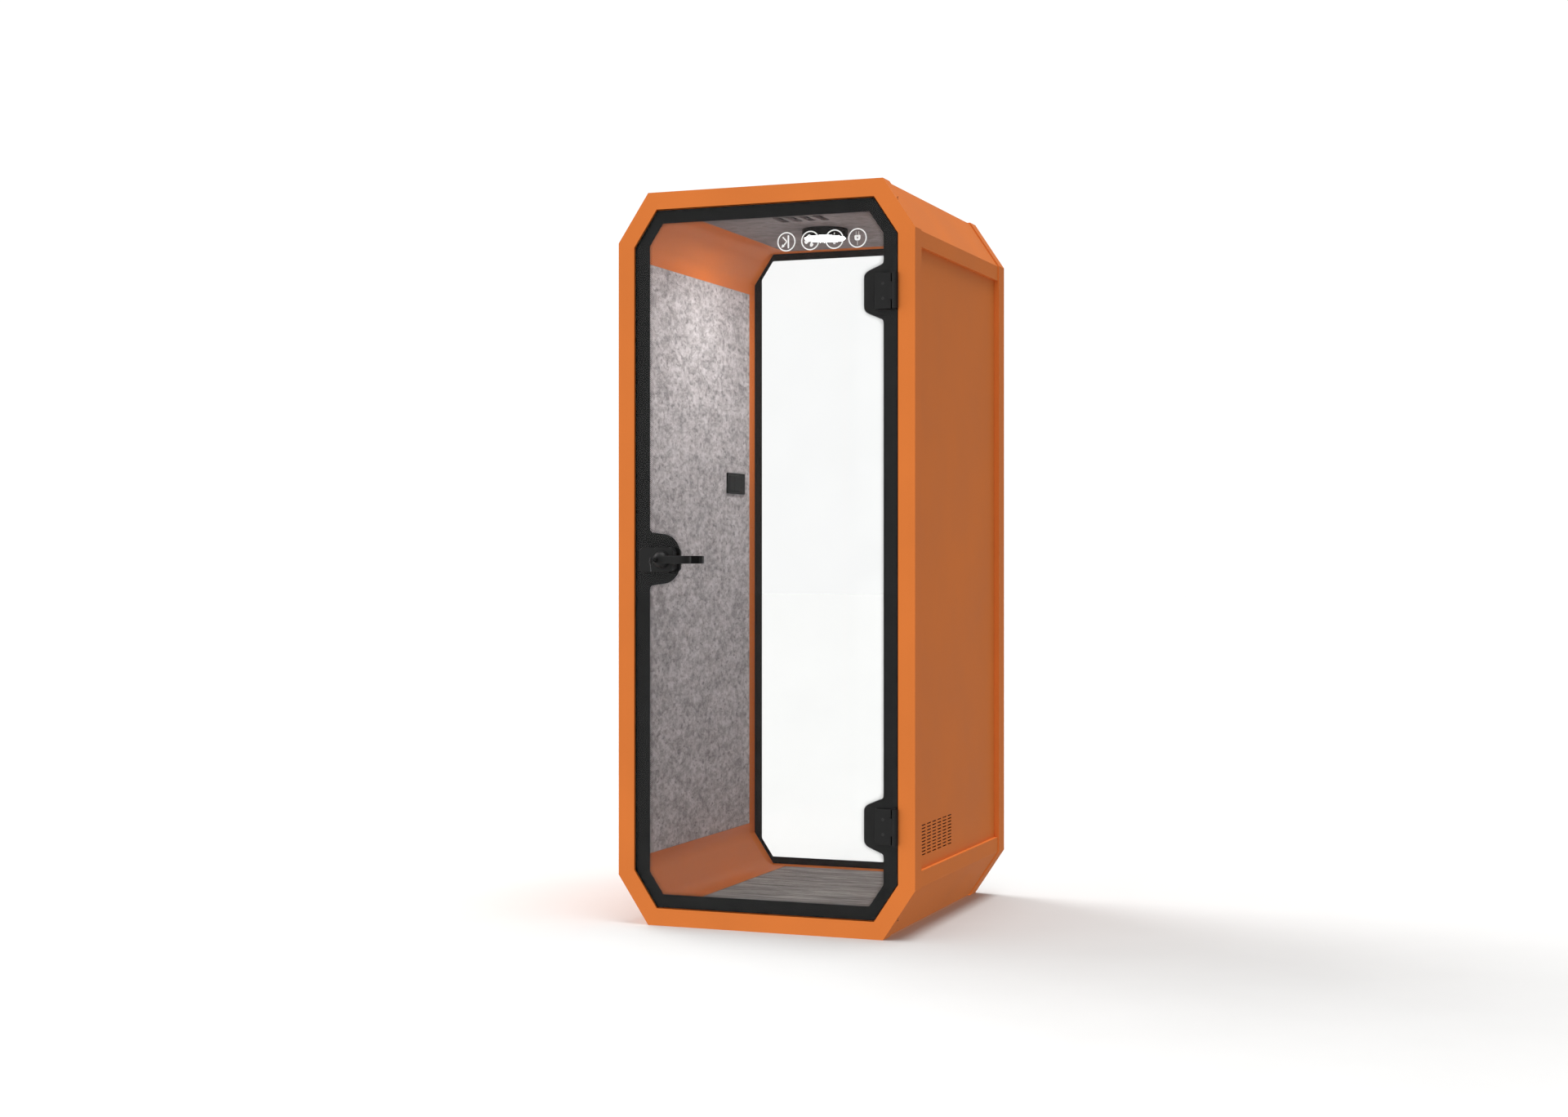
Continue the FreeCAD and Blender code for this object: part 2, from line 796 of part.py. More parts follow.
def hinge_gaskets():
    pads = []
    for centre in hinge_centres:
        for front in (glass_recess - gasket, glass_back + print_layer):
            pads.append(without(door_plate(centre, front, front + gasket), hinge_screw_sinks(centre)))
    return Part.makeCompound(pads)


def hinge_pins():
    pins = []
    for centre in hinge_centres:
        low = centre - hinge_height / 2
        pin = rod(hinge_x, -hinge_axis_proud, low, pin_radius, hinge_height, V(0, 0, 1))
        caps = []
        for z in (low - pin_head, low + hinge_height):
            caps.append(rod(hinge_x, -hinge_axis_proud, z, pin_radius + pin_head, pin_head, V(0, 0, 1)))
        pins.append(joined([pin] + caps))
    return Part.makeCompound(pins)


# ---------------------------------------------------------------- lock
def lock_case(front, back):
    """Hollow case with rounded corners; its open side lies on the glass."""
    top = case_bottom + case_height
    low, high = sorted((front, back))
    case = rounded_plate(case_left, case_right, case_bottom, top, low, high, case_corner)
    case = soften(case, front, case_edge)
    inward = case_wall if back > front else -case_wall
    low, high = sorted((front + inward, back))
    hollow = rounded_plate(case_left + case_wall, case_right - case_wall, case_bottom + case_wall,
                           top - case_wall, low, high, case_corner - case_wall)
    return case.cut(hollow)


def rose(front, outward):
    """Dome that carries the lever's neck."""
    ball = Part.makeSphere(rose_radius, at(lever_x, front, lock_from_floor))
    half = rose_radius * 2
    low, high = sorted((front, front + outward * half))
    return ball.common(block(lever_x - half, lever_x + half, low, high,
                             lock_from_floor - half, lock_from_floor + half))


def neck_bore():
    return rod(lever_x, -booth_depth / 2, lock_from_floor, neck_radius + running, booth_depth, V(0, 1, 0))


def case_screw_rods(grow):
    """Two screws hold the cases together through the glass."""
    front = case_front + case_wall
    rods = []
    for x, z in case_screw_places():
        shank = rod(x, front, z, case_screw_radius + grow, case_back - case_wall - front, V(0, 1, 0))
        rods.append(shank)
    return rods


def case_posts(front, back):
    """Screw posts inside a case."""
    low, high = sorted((front, back))
    return [rod(x, low, z, case_screw_hole_radius, high - low, V(0, 1, 0)) for x, z in case_screw_places()]


def lock_outer_case():
    shell = lock_case(case_front, glass_recess)
    posts = case_posts(case_front + case_wall, glass_recess)
    body = joined([shell, rose(case_front, -1)] + posts)
    return without(body, [neck_bore()] + case_screw_rods(seat))


def latch_room(grow):
    low = glass_back + print_layer + bolt_from_glass
    return block(case_left - bolt_reach, case_left - bolt_reach + bolt_length, low - grow,
                 low + bolt_thickness + grow, lock_from_floor - bolt_height / 2 - grow,
                 lock_from_floor + bolt_height / 2 + grow)


def lock_inner_case():
    shell = lock_case(case_back, glass_back + print_layer)
    posts = case_posts(glass_back + print_layer, case_back - case_wall)
    body = joined([shell, rose(case_back, 1)] + posts)
    return without(body, [neck_bore(), latch_room(bolt_play)] + case_screw_rods(seat))


def latch_bolt():
    return latch_room(0)


def magnetic_keeper():
    """Magnet plate on the frame, facing the tip of the bolt."""
    left = -half_width + frame_section
    return block(left, left + keeper_thickness, keeper_from_face, keeper_from_face + keeper_width,
                 lock_from_floor - keeper_height / 2, lock_from_floor + keeper_height / 2)


# ---------------------------------------------------------------- levers, drawn for the outer side
def lever_bar():
    """Straight bar with a rounded elbow and a short return towards the glass."""
    end_x = lever_x + lever_length
    turn_x = end_x - elbow_radius
    turn_d = bar_front + elbow_radius
    stop_d = turn_d + return_end
    inner_radius = elbow_radius - bar_thickness
    z = lock_from_floor - bar_height / 2
    diagonal = math.sqrt(0.5)

    def arc(radius):
        return Part.Arc(at(turn_x, turn_d - radius, z),
                        at(turn_x + radius * diagonal, turn_d - radius * diagonal, z),
                        at(turn_x + radius, turn_d, z)).toShape()

    def line(x0, d0, x1, d1):
        return Part.LineSegment(at(x0, d0, z), at(x1, d1, z)).toShape()

    inner_x = end_x - bar_thickness
    edges = [line(lever_x, bar_back, lever_x, bar_front), line(lever_x, bar_front, turn_x, bar_front)]
    edges += [arc(elbow_radius), line(end_x, turn_d, end_x, stop_d), line(end_x, stop_d, inner_x, stop_d)]
    edges += [line(inner_x, stop_d, inner_x, turn_d), arc(inner_radius)]
    edges.append(line(turn_x, bar_back, lever_x, bar_back))
    outline = Part.Wire(Part.__sortEdges__(edges))
    bar = Part.Face(outline).extrude(V(0, 0, bar_height))
    long_edges = [e for e in bar.Edges if e.BoundBox.ZLength < 0.01 and e.BoundBox.XMin > lever_x + 0.01
                  or e.BoundBox.ZLength < 0.01 and e.BoundBox.XLength > bar_taper]
    bar = bar.makeFillet(bar_edge, long_edges)
    rise = (bar_height - bar_root_height) / 2
    top = lock_from_floor + bar_height / 2
    low = lock_from_floor - bar_height / 2
    far = bar_front - 1
    wedge = []
    for tip, root in ((top, top - rise), (low, low + rise)):
        corners = [at(lever_x, far, tip), at(lever_x + bar_taper, far, tip), at(lever_x, far, root)]
        face = Part.Face(Part.makePolygon(corners + corners[:1]))
        wedge.append(face.extrude(V(0, bar_thickness + 2, 0)))
    return without(bar, wedge)


def lever_neck(nose):
    """Round neck from inside the case to the bar, and the nose in front of the bar."""
    root = case_front + neck_root
    neck = rod(lever_x, root, lock_from_floor, neck_radius, root - bar_front, V(0, -1, 0))
    cone = Part.makeCone(neck_radius, nose_radius, nose, at(lever_x, bar_front, lock_from_floor), V(0, -1, 0))
    return [neck, cone]


def spindle(grow):
    """Square spindle through both levers; it ends at the front face of each bar."""
    half = spindle_side / 2 + grow
    mid = (glass_recess + glass_back + print_layer) / 2
    reach = mid - bar_back
    return block(lever_x - half, lever_x + half, mid - reach - grow, mid + reach + grow,
                 lock_from_floor - half, lock_from_floor + half)


def outer_lever():
    plug_room = rod(lever_x, nose_tip, lock_from_floor, plug_radius + plug_play,
                    plug_length + plug_set_back, V(0, 1, 0))
    return without(joined([lever_bar()] + lever_neck(outer_nose)), [spindle(spindle_play), plug_room])


def inner_lever():
    mid = (case_front + case_back) / 2
    lever = mirrored_depth(joined([lever_bar()] + lever_neck(inner_nose)), mid)
    return lever.cut(spindle(spindle_play))


# ---------------------------------------------------------------- key
def key_slot(grow):
    half = key_thickness / 2 + grow
    tall = key_blade_height / 2 + grow
    front = nose_tip + plug_set_back
    return block(lever_x - half, lever_x + half, front - grow, front + key_blade_length + grow,
                 lock_from_floor - tall, lock_from_floor + tall)


def key_plug():
    plug = rod(lever_x, nose_tip + plug_set_back, lock_from_floor, plug_radius, plug_length, V(0, 1, 0))
    return plug.cut(key_slot(key_slot_play))


def bow(centre_depth, centre_z, radius):
    start = at(lever_x - key_thickness / 2, centre_depth, centre_z)
    return Part.makeCylinder(radius, key_thickness, start, V(1, 0, 0))


def door_key():
    front = nose_tip + plug_set_back
    half = key_thickness / 2
    stem = block(lever_x - half, lever_x + half, bow_centre, front + 1,
                 lock_from_floor - key_blade_height / 2, lock_from_floor + key_blade_height / 2)
    body = joined([key_slot(0), stem, bow(bow_centre, lock_from_floor, bow_radius)])
    return body.cut(bow(bow_centre, lock_from_floor, bow_hole_radius))


ring_top = lock_from_floor - bow_hole_radius + ring_wire + ring_rest


def key_ring():
    return Part.makeTorus(ring_radius, ring_wire, at(lever_x, bow_centre, ring_top - ring_radius), V(0, 1, 0))


def spare_key():
    """Second key, hanging edge-on from the ring."""
    hole_top = ring_top - ring_radius * 2 + ring_wire + ring_rest
    centre = hole_top - bow_hole_radius
    half = key_thickness / 2
    blade = block(lever_x - half, lever_x + half, bow_centre - spare_blade_width / 2,
                  bow_centre + spare_blade_width / 2, centre - spare_bow_radius - spare_blade_length, centre)
    body = joined([blade, bow(bow_centre, centre, spare_bow_radius)])
    return body.cut(bow(bow_centre, centre, bow_hole_radius))


# ---------------------------------------------------------------- ceiling lamp
def disc(z0, z1, radius):
    return rod(lamp_x, lamp_from_front, z0, radius, z1 - z0, V(0, 0, 1))


def lamp_housing():
    low = cabin_top - lamp_drop
    body = disc(low, cabin_top, lamp_radius)
    rim = [e for e in body.Edges if abs(e.BoundBox.ZMax - low) < 0.01]
    body = body.makeFillet(lamp_edge, rim)
    return body.cut(disc(low - 1, cabin_top - lamp_wall, diffuser_radius + seam))


def lamp_diffuser():
    low = cabin_top - lamp_drop - diffuser_proud
    lens = disc(low, low + lamp_wall + diffuser_proud, diffuser_radius)
    rim = [e for e in lens.Edges if abs(e.BoundBox.ZMax - low) < 0.01]
    return lens.makeFillet(lamp_wall - 0.5, rim)


def lamp_led_board():
    top = cabin_top - lamp_wall
    return disc(top - led_board_thickness, top, led_board_radius)


# ---------------------------------------------------------------- ventilation
fan_low = core_bottom + plenum_height
fan_top = fan_low + fan_height


def fan_rod(z0, z1, radius):
    return rod(vent_x, vent_from_front, z0, radius, z1 - z0, V(0, 0, 1))


def fan_plenum():
    outer = block(vent_x - plenum_width / 2, vent_x + plenum_width / 2,
                  vent_from_front - plenum_length / 2, vent_from_front + plenum_length / 2,
                  core_bottom, fan_low)
    wall = plenum_wall
    room = block(vent_x - plenum_width / 2 + wall, vent_x + plenum_width / 2 - wall,
                 vent_from_front - plenum_length / 2 + wall, vent_from_front + plenum_length / 2 - wall,
                 core_bottom, fan_low - wall)
    return without(outer, [room, fan_rod(core_bottom, fan_low, fan_bore)])


def fan_frame():
    half = fan_side / 2
    casing = block(vent_x - half, vent_x + half, vent_from_front - half, vent_from_front + half,
                   fan_low, fan_top)
    casing = casing.cut(fan_rod(fan_low, fan_top, fan_bore))
    bearing = fan_rod(fan_low, fan_low + fan_plate, fan_hub_radius)
    pin = fan_rod(fan_low, fan_top - fan_plate, fan_pin_radius)
    spokes = []
    for turn in (0, 90, 180, 270):
        spoke = block(vent_x - fan_spoke / 2, vent_x + fan_spoke / 2, vent_from_front + fan_hub_radius - 1,
                      vent_from_front + fan_bore + 1, fan_low, fan_low + fan_plate)
        spoke.rotate(at(vent_x, vent_from_front, 0), V(0, 0, 1), turn)
        spokes.append(spoke)
    return joined([casing, bearing, pin] + spokes)


def fan_rotor():
    low = fan_low + fan_plate + fan_play
    hub = fan_rod(low, fan_top - fan_play, fan_hub_radius)
    middle = (low + fan_top - fan_play) / 2
    blades = []
    for index in range(fan_blades):
        blade = block(vent_x - fan_blade_chord / 2, vent_x + fan_blade_chord / 2,
                      vent_from_front + fan_hub_radius - 3, vent_from_front + fan_bore - fan_tip_gap,
                      middle - fan_blade_thickness / 2, middle + fan_blade_thickness / 2)
        blade.rotate(at(vent_x, vent_from_front, middle), V(0, 1, 0), fan_blade_pitch)
        blade.rotate(at(vent_x, vent_from_front, middle), V(0, 0, 1), index * 360 / fan_blades)
        blades.append(blade)
    swept = joined([hub] + blades).common(fan_rod(low, fan_top - fan_play, fan_bore - fan_tip_gap))
    return swept.cut(fan_rod(low, fan_top - fan_plate + fan_play, fan_pin_radius + running))


# ---------------------------------------------------------------- wall plate
def module_middle(index):
    """Middle of one of the plate's three modules, counted from the front."""
    return plate_from_front + (index - 1) * (module_width + module_gap)


def module_block(index, x0, x1, play):
    half = module_width / 2 - play
    tall = module_height / 2 - play
    middle = module_middle(index)
    return block(x0, x1, middle - half, middle + half, plate_from_floor - tall, plate_from_floor + tall)


def wall_plate():
    x = -cabin_half
    half = plate_width / 2
    plate = block(x, x + plate_thickness, plate_from_front - half, plate_from_front + half,
                  plate_from_floor - plate_height / 2, plate_from_floor + plate_height / 2)
    corners = [e for e in plate.Edges if abs(e.BoundBox.XLength - plate_thickness) < 0.01]
    plate = plate.makeFillet(plate_corner, corners)
    face = [e for e in plate.Edges if abs(e.BoundBox.XMin - x - plate_thickness) < 0.01]
    plate = plate.makeFillet(plate_edge, face)
    reach = (module_width + module_gap) * 1.5
    tall = (module_height + module_gap) / 2
    opening = block(x - 1, x + plate_thickness + 1, plate_from_front - reach, plate_from_front + reach,
                    plate_from_floor - tall, plate_from_floor + tall)
    return plate.cut(opening)


rocker_front = -cabin_half + plate_thickness + rocker_proud
rocker_back = rocker_front - rocker_depth
pivot_x = rocker_back - 1


def pivot_ears(index, grow):
    """Two ears of the carrier on either side of a rocker's middle."""
    ears = []
    for side in (-1, 1):
        middle = module_middle(index) + side * ear_spread
        half = ear_thickness / 2 + grow
        ears.append(block(carrier_x, pivot_x + ear_radius + grow, middle - half, middle + half,
                          plate_from_floor - ear_radius - grow, plate_from_floor + ear_radius + grow))
    return ears


def pivot_rod(index, radius, reach):
    return rod(pivot_x, module_middle(index) - reach, plate_from_floor, radius, reach * 2, V(0, 1, 0))


def rocker(index):
    """Switch rocker that tilts on a pin held by the carrier's two ears."""
    key = module_block(index, rocker_back, rocker_front, rocker_play)
    face = [e for e in key.Edges if abs(e.BoundBox.XMin - rocker_front) < 0.01]
    key = key.makeFillet(plate_edge, face)
    rib = block(pivot_x, rocker_back + 1, module_middle(index) - rocker_pin_reach,
                module_middle(index) + rocker_pin_reach, plate_from_floor - rocker_pin_radius,
                plate_from_floor + rocker_pin_radius)
    body = without(joined([key, rib]), pivot_ears(index, rocker_play))
    return joined([body, pivot_rod(index, rocker_pin_radius, rocker_pin_reach)])


carrier_x = -cabin_half - module_depth


def switch_carrier():
    """Carrier behind the plate that holds the rockers' pivots and the outlet."""
    reach = back_box_width / 2 - back_box_wall - seam
    tall = back_box_height / 2 - back_box_wall - seam
    sheet = block(carrier_x, carrier_x + carrier_sheet, plate_from_front - reach, plate_from_front + reach,
                  plate_from_floor - tall, plate_from_floor + tall)
    whole = joined([sheet] + pivot_ears(0, 0) + pivot_ears(1, 0))
    bores = [pivot_rod(index, rocker_pin_radius + running, rocker_pin_reach) for index in (0, 1)]
    return without(whole, bores)


def power_outlet():
    face = -cabin_half + plate_thickness
    body = module_block(2, carrier_x + carrier_sheet, face, 0)
    pins = []
    for level in (-1, 1):
        for side in (-1, 1):
            depth = module_middle(2) + side * outlet_pin_spread / 2
            z = plate_from_floor + level * module_height / 4
            half = outlet_pin_width / 2
            tall = outlet_pin_height / 2
            pins.append(block(face - rocker_depth, face + 1, depth - half, depth + half, z - tall, z + tall))
    return without(body, pins)


def wall_back_box():
    pocket = back_box_pocket()
    box = pocket.BoundBox
    wall = back_box_wall
    room = Part.makeBox(box.XLength, box.YLength - 2 * wall, box.ZLength - 2 * wall,
                        V(box.XMin + wall, box.YMin + wall, box.ZMin + wall))
    return pocket.cut(room)


# ---------------------------------------------------------------- mains inlet
def power_inlet():
    def around(width, length, z0, z1):
        return block(inlet_x - width / 2, inlet_x + width / 2, inlet_from_front - length / 2,
                     inlet_from_front + length / 2, z0, z1)

    top = roof_top + inlet_flange
    flange = around(inlet_width, inlet_length, roof_top, top)
    body = around(inlet_body_width, inlet_body_length, roof_top - inlet_body_depth, top)
    socket = around(inlet_socket_width, inlet_socket_length, top - inlet_socket_depth, top)
    blades = []
    for place in (-1, 0, 1):
        x = inlet_x + place * inlet_blade_spread
        half = inlet_blade_length / 2
        blades.append(block(x - inlet_blade_width / 2, x + inlet_blade_width / 2,
                            inlet_from_front - half, inlet_from_front + half,
                            top - inlet_socket_depth - 1, top - inlet_socket_depth + inlet_blade_height))
    return joined([joined([flange, body]).cut(socket)] + blades)


# ---------------------------------------------------------------- one file per part
def both(make):
    """The same hinge part at the lower and the upper hinge."""
    return Part.makeCompound([make(centre) for centre in hinge_centres])


def frame_screws():
    return Part.makeCompound([leaf_screw(z, 0) for z in leaf_screw_places()])


def clamp_screws():
    """Screws with a hexagon socket."""
    front = glass_recess - gasket - leaf_plate_thickness
    screws = []
    for z in clamp_screw_places():
        corners = []
        for side in range(6):
            turn = math.radians(side * 60)
            corners.append(at(clamp_screw_x + hex_socket_radius * math.cos(turn), front,
                              z + hex_socket_radius * math.sin(turn)))
        socket = Part.Face(Part.makePolygon(corners + corners[:1])).extrude(V(0, hex_socket_depth, 0))
        screws.append(clamp_screw(z, 0).cut(socket))
    return Part.makeCompound(screws)


nodes = {
    "front_frame": front_frame(),
    "rear_frame": rear_frame(),
    "upper_left_corner_shell": mirrored_x(corner_shell()),
    "upper_right_corner_shell": corner_shell(),
    "lower_left_corner_shell": mirrored_x(mirrored_z(corner_shell())),
    "lower_right_corner_shell": mirrored_z(corner_shell()),
    "roof_panel": roof_panel(),
    "base_pan": base_pan(),
    "left_side_panel": mirrored_x(side_panel()),
    "right_side_panel": right_side_panel(),
    "left_wall_core": left_wall_core(),
    "right_wall_core": right_wall_core(),
    "roof_core": roof_core(),
    "floor_deck": floor_deck(),
    "left_felt_panel": left_felt_panel(),
    "right_felt_panel": felt_panel(),
    "ceiling_felt_panel": ceiling_felt_panel(),
    "carpet": carpet(),
    "upper_left_liner": mirrored_x(corner_liner()),
    "upper_right_liner": corner_liner(),
    "lower_left_liner": mirrored_x(lower_liner()),
    "lower_right_liner": lower_liner(),
    "rear_glass": rear_glass(),
    "rear_glass_print": rear_glass_print(),
    "rear_glass_gasket": rear_glass_gasket(),
    "door_seal": door_seal(),
    "hinge_frame_leaves": both(hinge_frame_leaf),
    "hinge_frame_screws": frame_screws(),
    "hinge_pins": hinge_pins(),
    "magnetic_keeper": magnetic_keeper(),
    "lamp_housing": lamp_housing(),
    "lamp_diffuser": lamp_diffuser(),
    "lamp_led_board": lamp_led_board(),
    "fan_plenum": fan_plenum(),
    "fan_frame": fan_frame(),
    "fan_rotor": fan_rotor(),
    "wall_plate": wall_plate(),
    "wall_back_box": wall_back_box(),
    "switch_carrier": switch_carrier(),
    "light_switch_rocker": rocker(0),
    "fan_switch_rocker": rocker(1),
    "power_outlet": power_outlet(),
    "power_inlet": power_inlet(),
    "door_glass": door_glass(),
    "door_glass_print": door_glass_print(),
    "hinge_door_leaves": both(hinge_door_leaf),
    "hinge_clamp_plates": both(hinge_clamp_plate),
    "hinge_gaskets": hinge_gaskets(),
    "hinge_clamp_screws": clamp_screws(),
    "lock_outer_case": lock_outer_case(),
    "lock_inner_case": lock_inner_case(),
    "lock_case_screws": Part.makeCompound(case_screw_rods(0)),
    "latch_bolt": latch_bolt(),
    "outer_lever": outer_lever(),
    "inner_lever": inner_lever(),
    "lever_spindle": spindle(0),
    "key_plug": key_plug(),
    "door_key": door_key(),
    "key_ring": key_ring(),
    "spare_key": spare_key(),
}

for name, shape in nodes.items():
    shape.exportStep("parts/" + name + ".step")
    bound = shape.BoundBox
    print(name, len(shape.Solids), shape.isValid(), round(shape.Volume / 1000, 1),
          [round(v, 1) for v in (bound.XMin, bound.XMax, bound.YMin, bound.YMax, bound.ZMin, bound.ZMax)])
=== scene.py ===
import json
import math

import bpy
import numpy as np
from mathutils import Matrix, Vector, noise


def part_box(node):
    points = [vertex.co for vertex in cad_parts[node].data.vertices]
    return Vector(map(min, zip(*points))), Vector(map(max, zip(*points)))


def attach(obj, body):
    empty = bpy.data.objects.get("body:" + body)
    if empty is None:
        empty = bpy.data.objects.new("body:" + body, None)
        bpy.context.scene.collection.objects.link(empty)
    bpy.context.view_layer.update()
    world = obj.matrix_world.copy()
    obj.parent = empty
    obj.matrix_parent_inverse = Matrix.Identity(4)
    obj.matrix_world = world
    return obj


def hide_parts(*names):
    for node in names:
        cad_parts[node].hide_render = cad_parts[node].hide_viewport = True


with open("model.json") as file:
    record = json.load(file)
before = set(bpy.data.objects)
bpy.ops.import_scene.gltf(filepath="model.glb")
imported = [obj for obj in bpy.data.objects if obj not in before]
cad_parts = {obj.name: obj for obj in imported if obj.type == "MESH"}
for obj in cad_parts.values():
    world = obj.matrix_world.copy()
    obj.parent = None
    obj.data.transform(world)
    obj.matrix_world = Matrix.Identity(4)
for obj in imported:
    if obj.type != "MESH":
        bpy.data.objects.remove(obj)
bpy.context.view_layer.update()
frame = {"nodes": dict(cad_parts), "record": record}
nodes = frame["nodes"]

# ---------------------------------------------------------------- places read from the frame
front_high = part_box("front_frame")[1]
door_low, door_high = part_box("door_glass")
print_low, print_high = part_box("door_glass_print")


# ---------------------------------------------------------------- node helpers
class Graph:
    """A node tree, emptied first, with short calls for the nodes it is built from."""

    def __init__(self, tree):
        self.tree = tree
        self.tree.nodes.clear()

    def put(self, socket, value):
        if isinstance(value, bpy.types.NodeSocket):
            self.tree.links.new(value, socket)
        elif value is not None:
            if isinstance(value, tuple) and len(value) == 3 and socket.type == "RGBA":
                value = (*value, 1.0)
            socket.default_value = value

    def node(self, kind, inputs=None, **settings):
        made = self.tree.nodes.new("ShaderNode" + kind)
        for key, value in settings.items():
            setattr(made, key, value)
        for key, value in (inputs or {}).items():
            self.put(made.inputs[key], value)
        return made

    def place(self, scale=(1.0, 1.0, 1.0), turn=(0.0, 0.0, 0.0)):
        coordinates = self.node("TexCoord").outputs["Object"]
        return self.node("Mapping", {"Vector": coordinates, "Scale": scale, "Rotation": turn}).outputs[0]

    def noise(self, vector, scale, detail=3.0, roughness=0.5, distortion=0.0):
        return self.node("TexNoise", {"Vector": vector, "Scale": scale, "Detail": detail,
                                      "Roughness": roughness, "Distortion": distortion}).outputs[0]

    def voronoi(self, scale):
        return self.node("TexVoronoi", {"Vector": self.place(), "Scale": scale})

    def ramp(self, factor, stops):
        made = self.node("ValToRGB", {"Fac": factor})
        elements = made.color_ramp.elements
        while len(elements) < len(stops):
            elements.new(0.5)
        for element, (position, colour) in zip(elements, stops):
            element.position = position
            if not isinstance(colour, tuple):
                colour = (colour, colour, colour)
            element.color = (*colour, 1.0)
        return made.outputs[0]

    def mix(self, factor, a, b, kind="MIX"):
        made = self.node("Mix", data_type="RGBA", blend_type=kind)
        self.put(made.inputs[0], factor)
        self.put(made.inputs[6], a)
        self.put(made.inputs[7], b)
        return made.outputs[2]

    def math(self, operation, a, b=None):
        made = self.node("Math", operation=operation)
        self.put(made.inputs[0], a)
        self.put(made.inputs[1], b)
        return made.outputs[0]

    def span(self, value, low, high, to_low, to_high):
        return self.node("MapRange", {"Value": value, "From Min": low, "From Max": high,
                                      "To Min": to_low, "To Max": to_high}).outputs[0]

    def bump(self, height, strength, distance, normal=None):
        return self.node("Bump", {"Height": height, "Strength": strength, "Distance": distance,
                                  "Normal": normal}).outputs[0]

    def principled(self, **inputs):
        return self.node("BsdfPrincipled", inputs)

    def finish(self, shader, output="OutputMaterial"):
        self.tree.links.new(shader.outputs[0], self.node(output).inputs["Surface"])


class Surface(Graph):
    """One material's node tree."""

    def __init__(self, name):
        self.material = bpy.data.materials.new(name)
        self.material.use_nodes = True
        super().__init__(self.material.node_tree)

    def finish(self, shader):
        super().finish(shader)
        return self.material


def powder_coat(name, colour, rough, grain=0.00006, gleam=0.5):
    """Powder coat: faint cloudiness, orange-peel texture and a slightly uneven gloss."""
    g = Surface(name)
    cloud = g.noise(g.place(), 2.3, 4.0, 0.55)
    fleck = g.noise(g.place(), 900.0, 2.0, 0.6)
    peel = g.noise(g.place(), 420.0, 2.0, 0.5)
    dark = tuple(c * 0.93 for c in colour)
    light = tuple(min(1.0, c * 1.04) for c in colour)
    base = g.ramp(cloud, [(0.3, dark), (0.7, light)])
    base = g.mix(0.10, base, g.ramp(fleck, [(0.35, tuple(c * 0.7 for c in colour)), (0.65, light)]))
    gloss = g.span(cloud, 0.3, 0.7, rough - 0.04, rough + 0.05)
    gloss = g.math("ADD", gloss, g.span(fleck, 0.3, 0.7, -0.03, 0.03))
    normal = g.bump(peel, 0.35, grain * 4)
    normal = g.bump(fleck, 0.3, grain, normal)
    shader = g.principled(Roughness=gloss, Normal=normal, **{"Base Color": base, "Specular IOR Level": gleam})
    return g.finish(shader)


def moulded_plastic(name, colour, rough):
    g = Surface(name)
    grain = g.noise(g.place(), 1400.0, 2.0, 0.6)
    cloud = g.noise(g.place(), 14.0, 3.0, 0.5)
    base = g.ramp(cloud, [(0.3, tuple(c * 0.85 for c in colour)), (0.7, tuple(c * 1.12 for c in colour))])
    normal = g.bump(grain, 0.4, 0.00008)
    shader = g.principled(Roughness=g.span(grain, 0.3, 0.7, rough - 0.05, rough + 0.06), Normal=normal,
                          **{"Base Color": base, "Specular IOR Level": 0.12})
    return g.finish(shader)


def rubber(name):
    g = Surface(name)
    grain = g.noise(g.place(), 600.0, 4.0, 0.65)
    dust = g.noise(g.place(), 30.0, 4.0, 0.6)
    base = g.ramp(dust, [(0.35, (0.014, 0.014, 0.014)), (0.75, (0.028, 0.027, 0.026))])
    shader = g.principled(Roughness=g.span(grain, 0.3, 0.7, 0.68, 0.85), Normal=g.bump(grain, 0.4, 0.0001),
                          **{"Base Color": base, "Specular IOR Level": 0.3})
    return g.finish(shader)


def brushed(name, colour, rough, stretch):
    """Brushed or rolled steel, its grain along the axis with the smallest stretch."""
    g = Surface(name)
    line = g.noise(g.place(stretch), 60.0, 5.0, 0.7)
    stain = g.noise(g.place(), 18.0, 3.0, 0.5)
    light = tuple(min(1.0, c * 1.1) for c in colour)
    base = g.ramp(line, [(0.3, tuple(c * 0.8 for c in colour)), (0.7, light)])
    base = g.mix(0.15, base, g.ramp(stain, [(0.35, tuple(c * 0.7 for c in colour)), (0.65, colour)]))
    shader = g.principled(Roughness=g.span(line, 0.3, 0.7, rough - 0.08, rough + 0.1),
                          Normal=g.bump(line, 0.25, 0.00005), Metallic=1.0, **{"Base Color": base})
    return g.finish(shader)


def galvanised(name):
    g = Surface(name)
    spangle = g.voronoi(70.0).outputs["Color"]
    grey = g.node("RGBToBW", {"Color": spangle}).outputs[0]
    base = g.ramp(grey, [(0.2, (0.42, 0.43, 0.44)), (0.8, (0.58, 0.59, 0.6))])
    shader = g.principled(Roughness=g.span(grey, 0.2, 0.8, 0.38, 0.55), Metallic=1.0, **{"Base Color": base})
    return g.finish(shader)


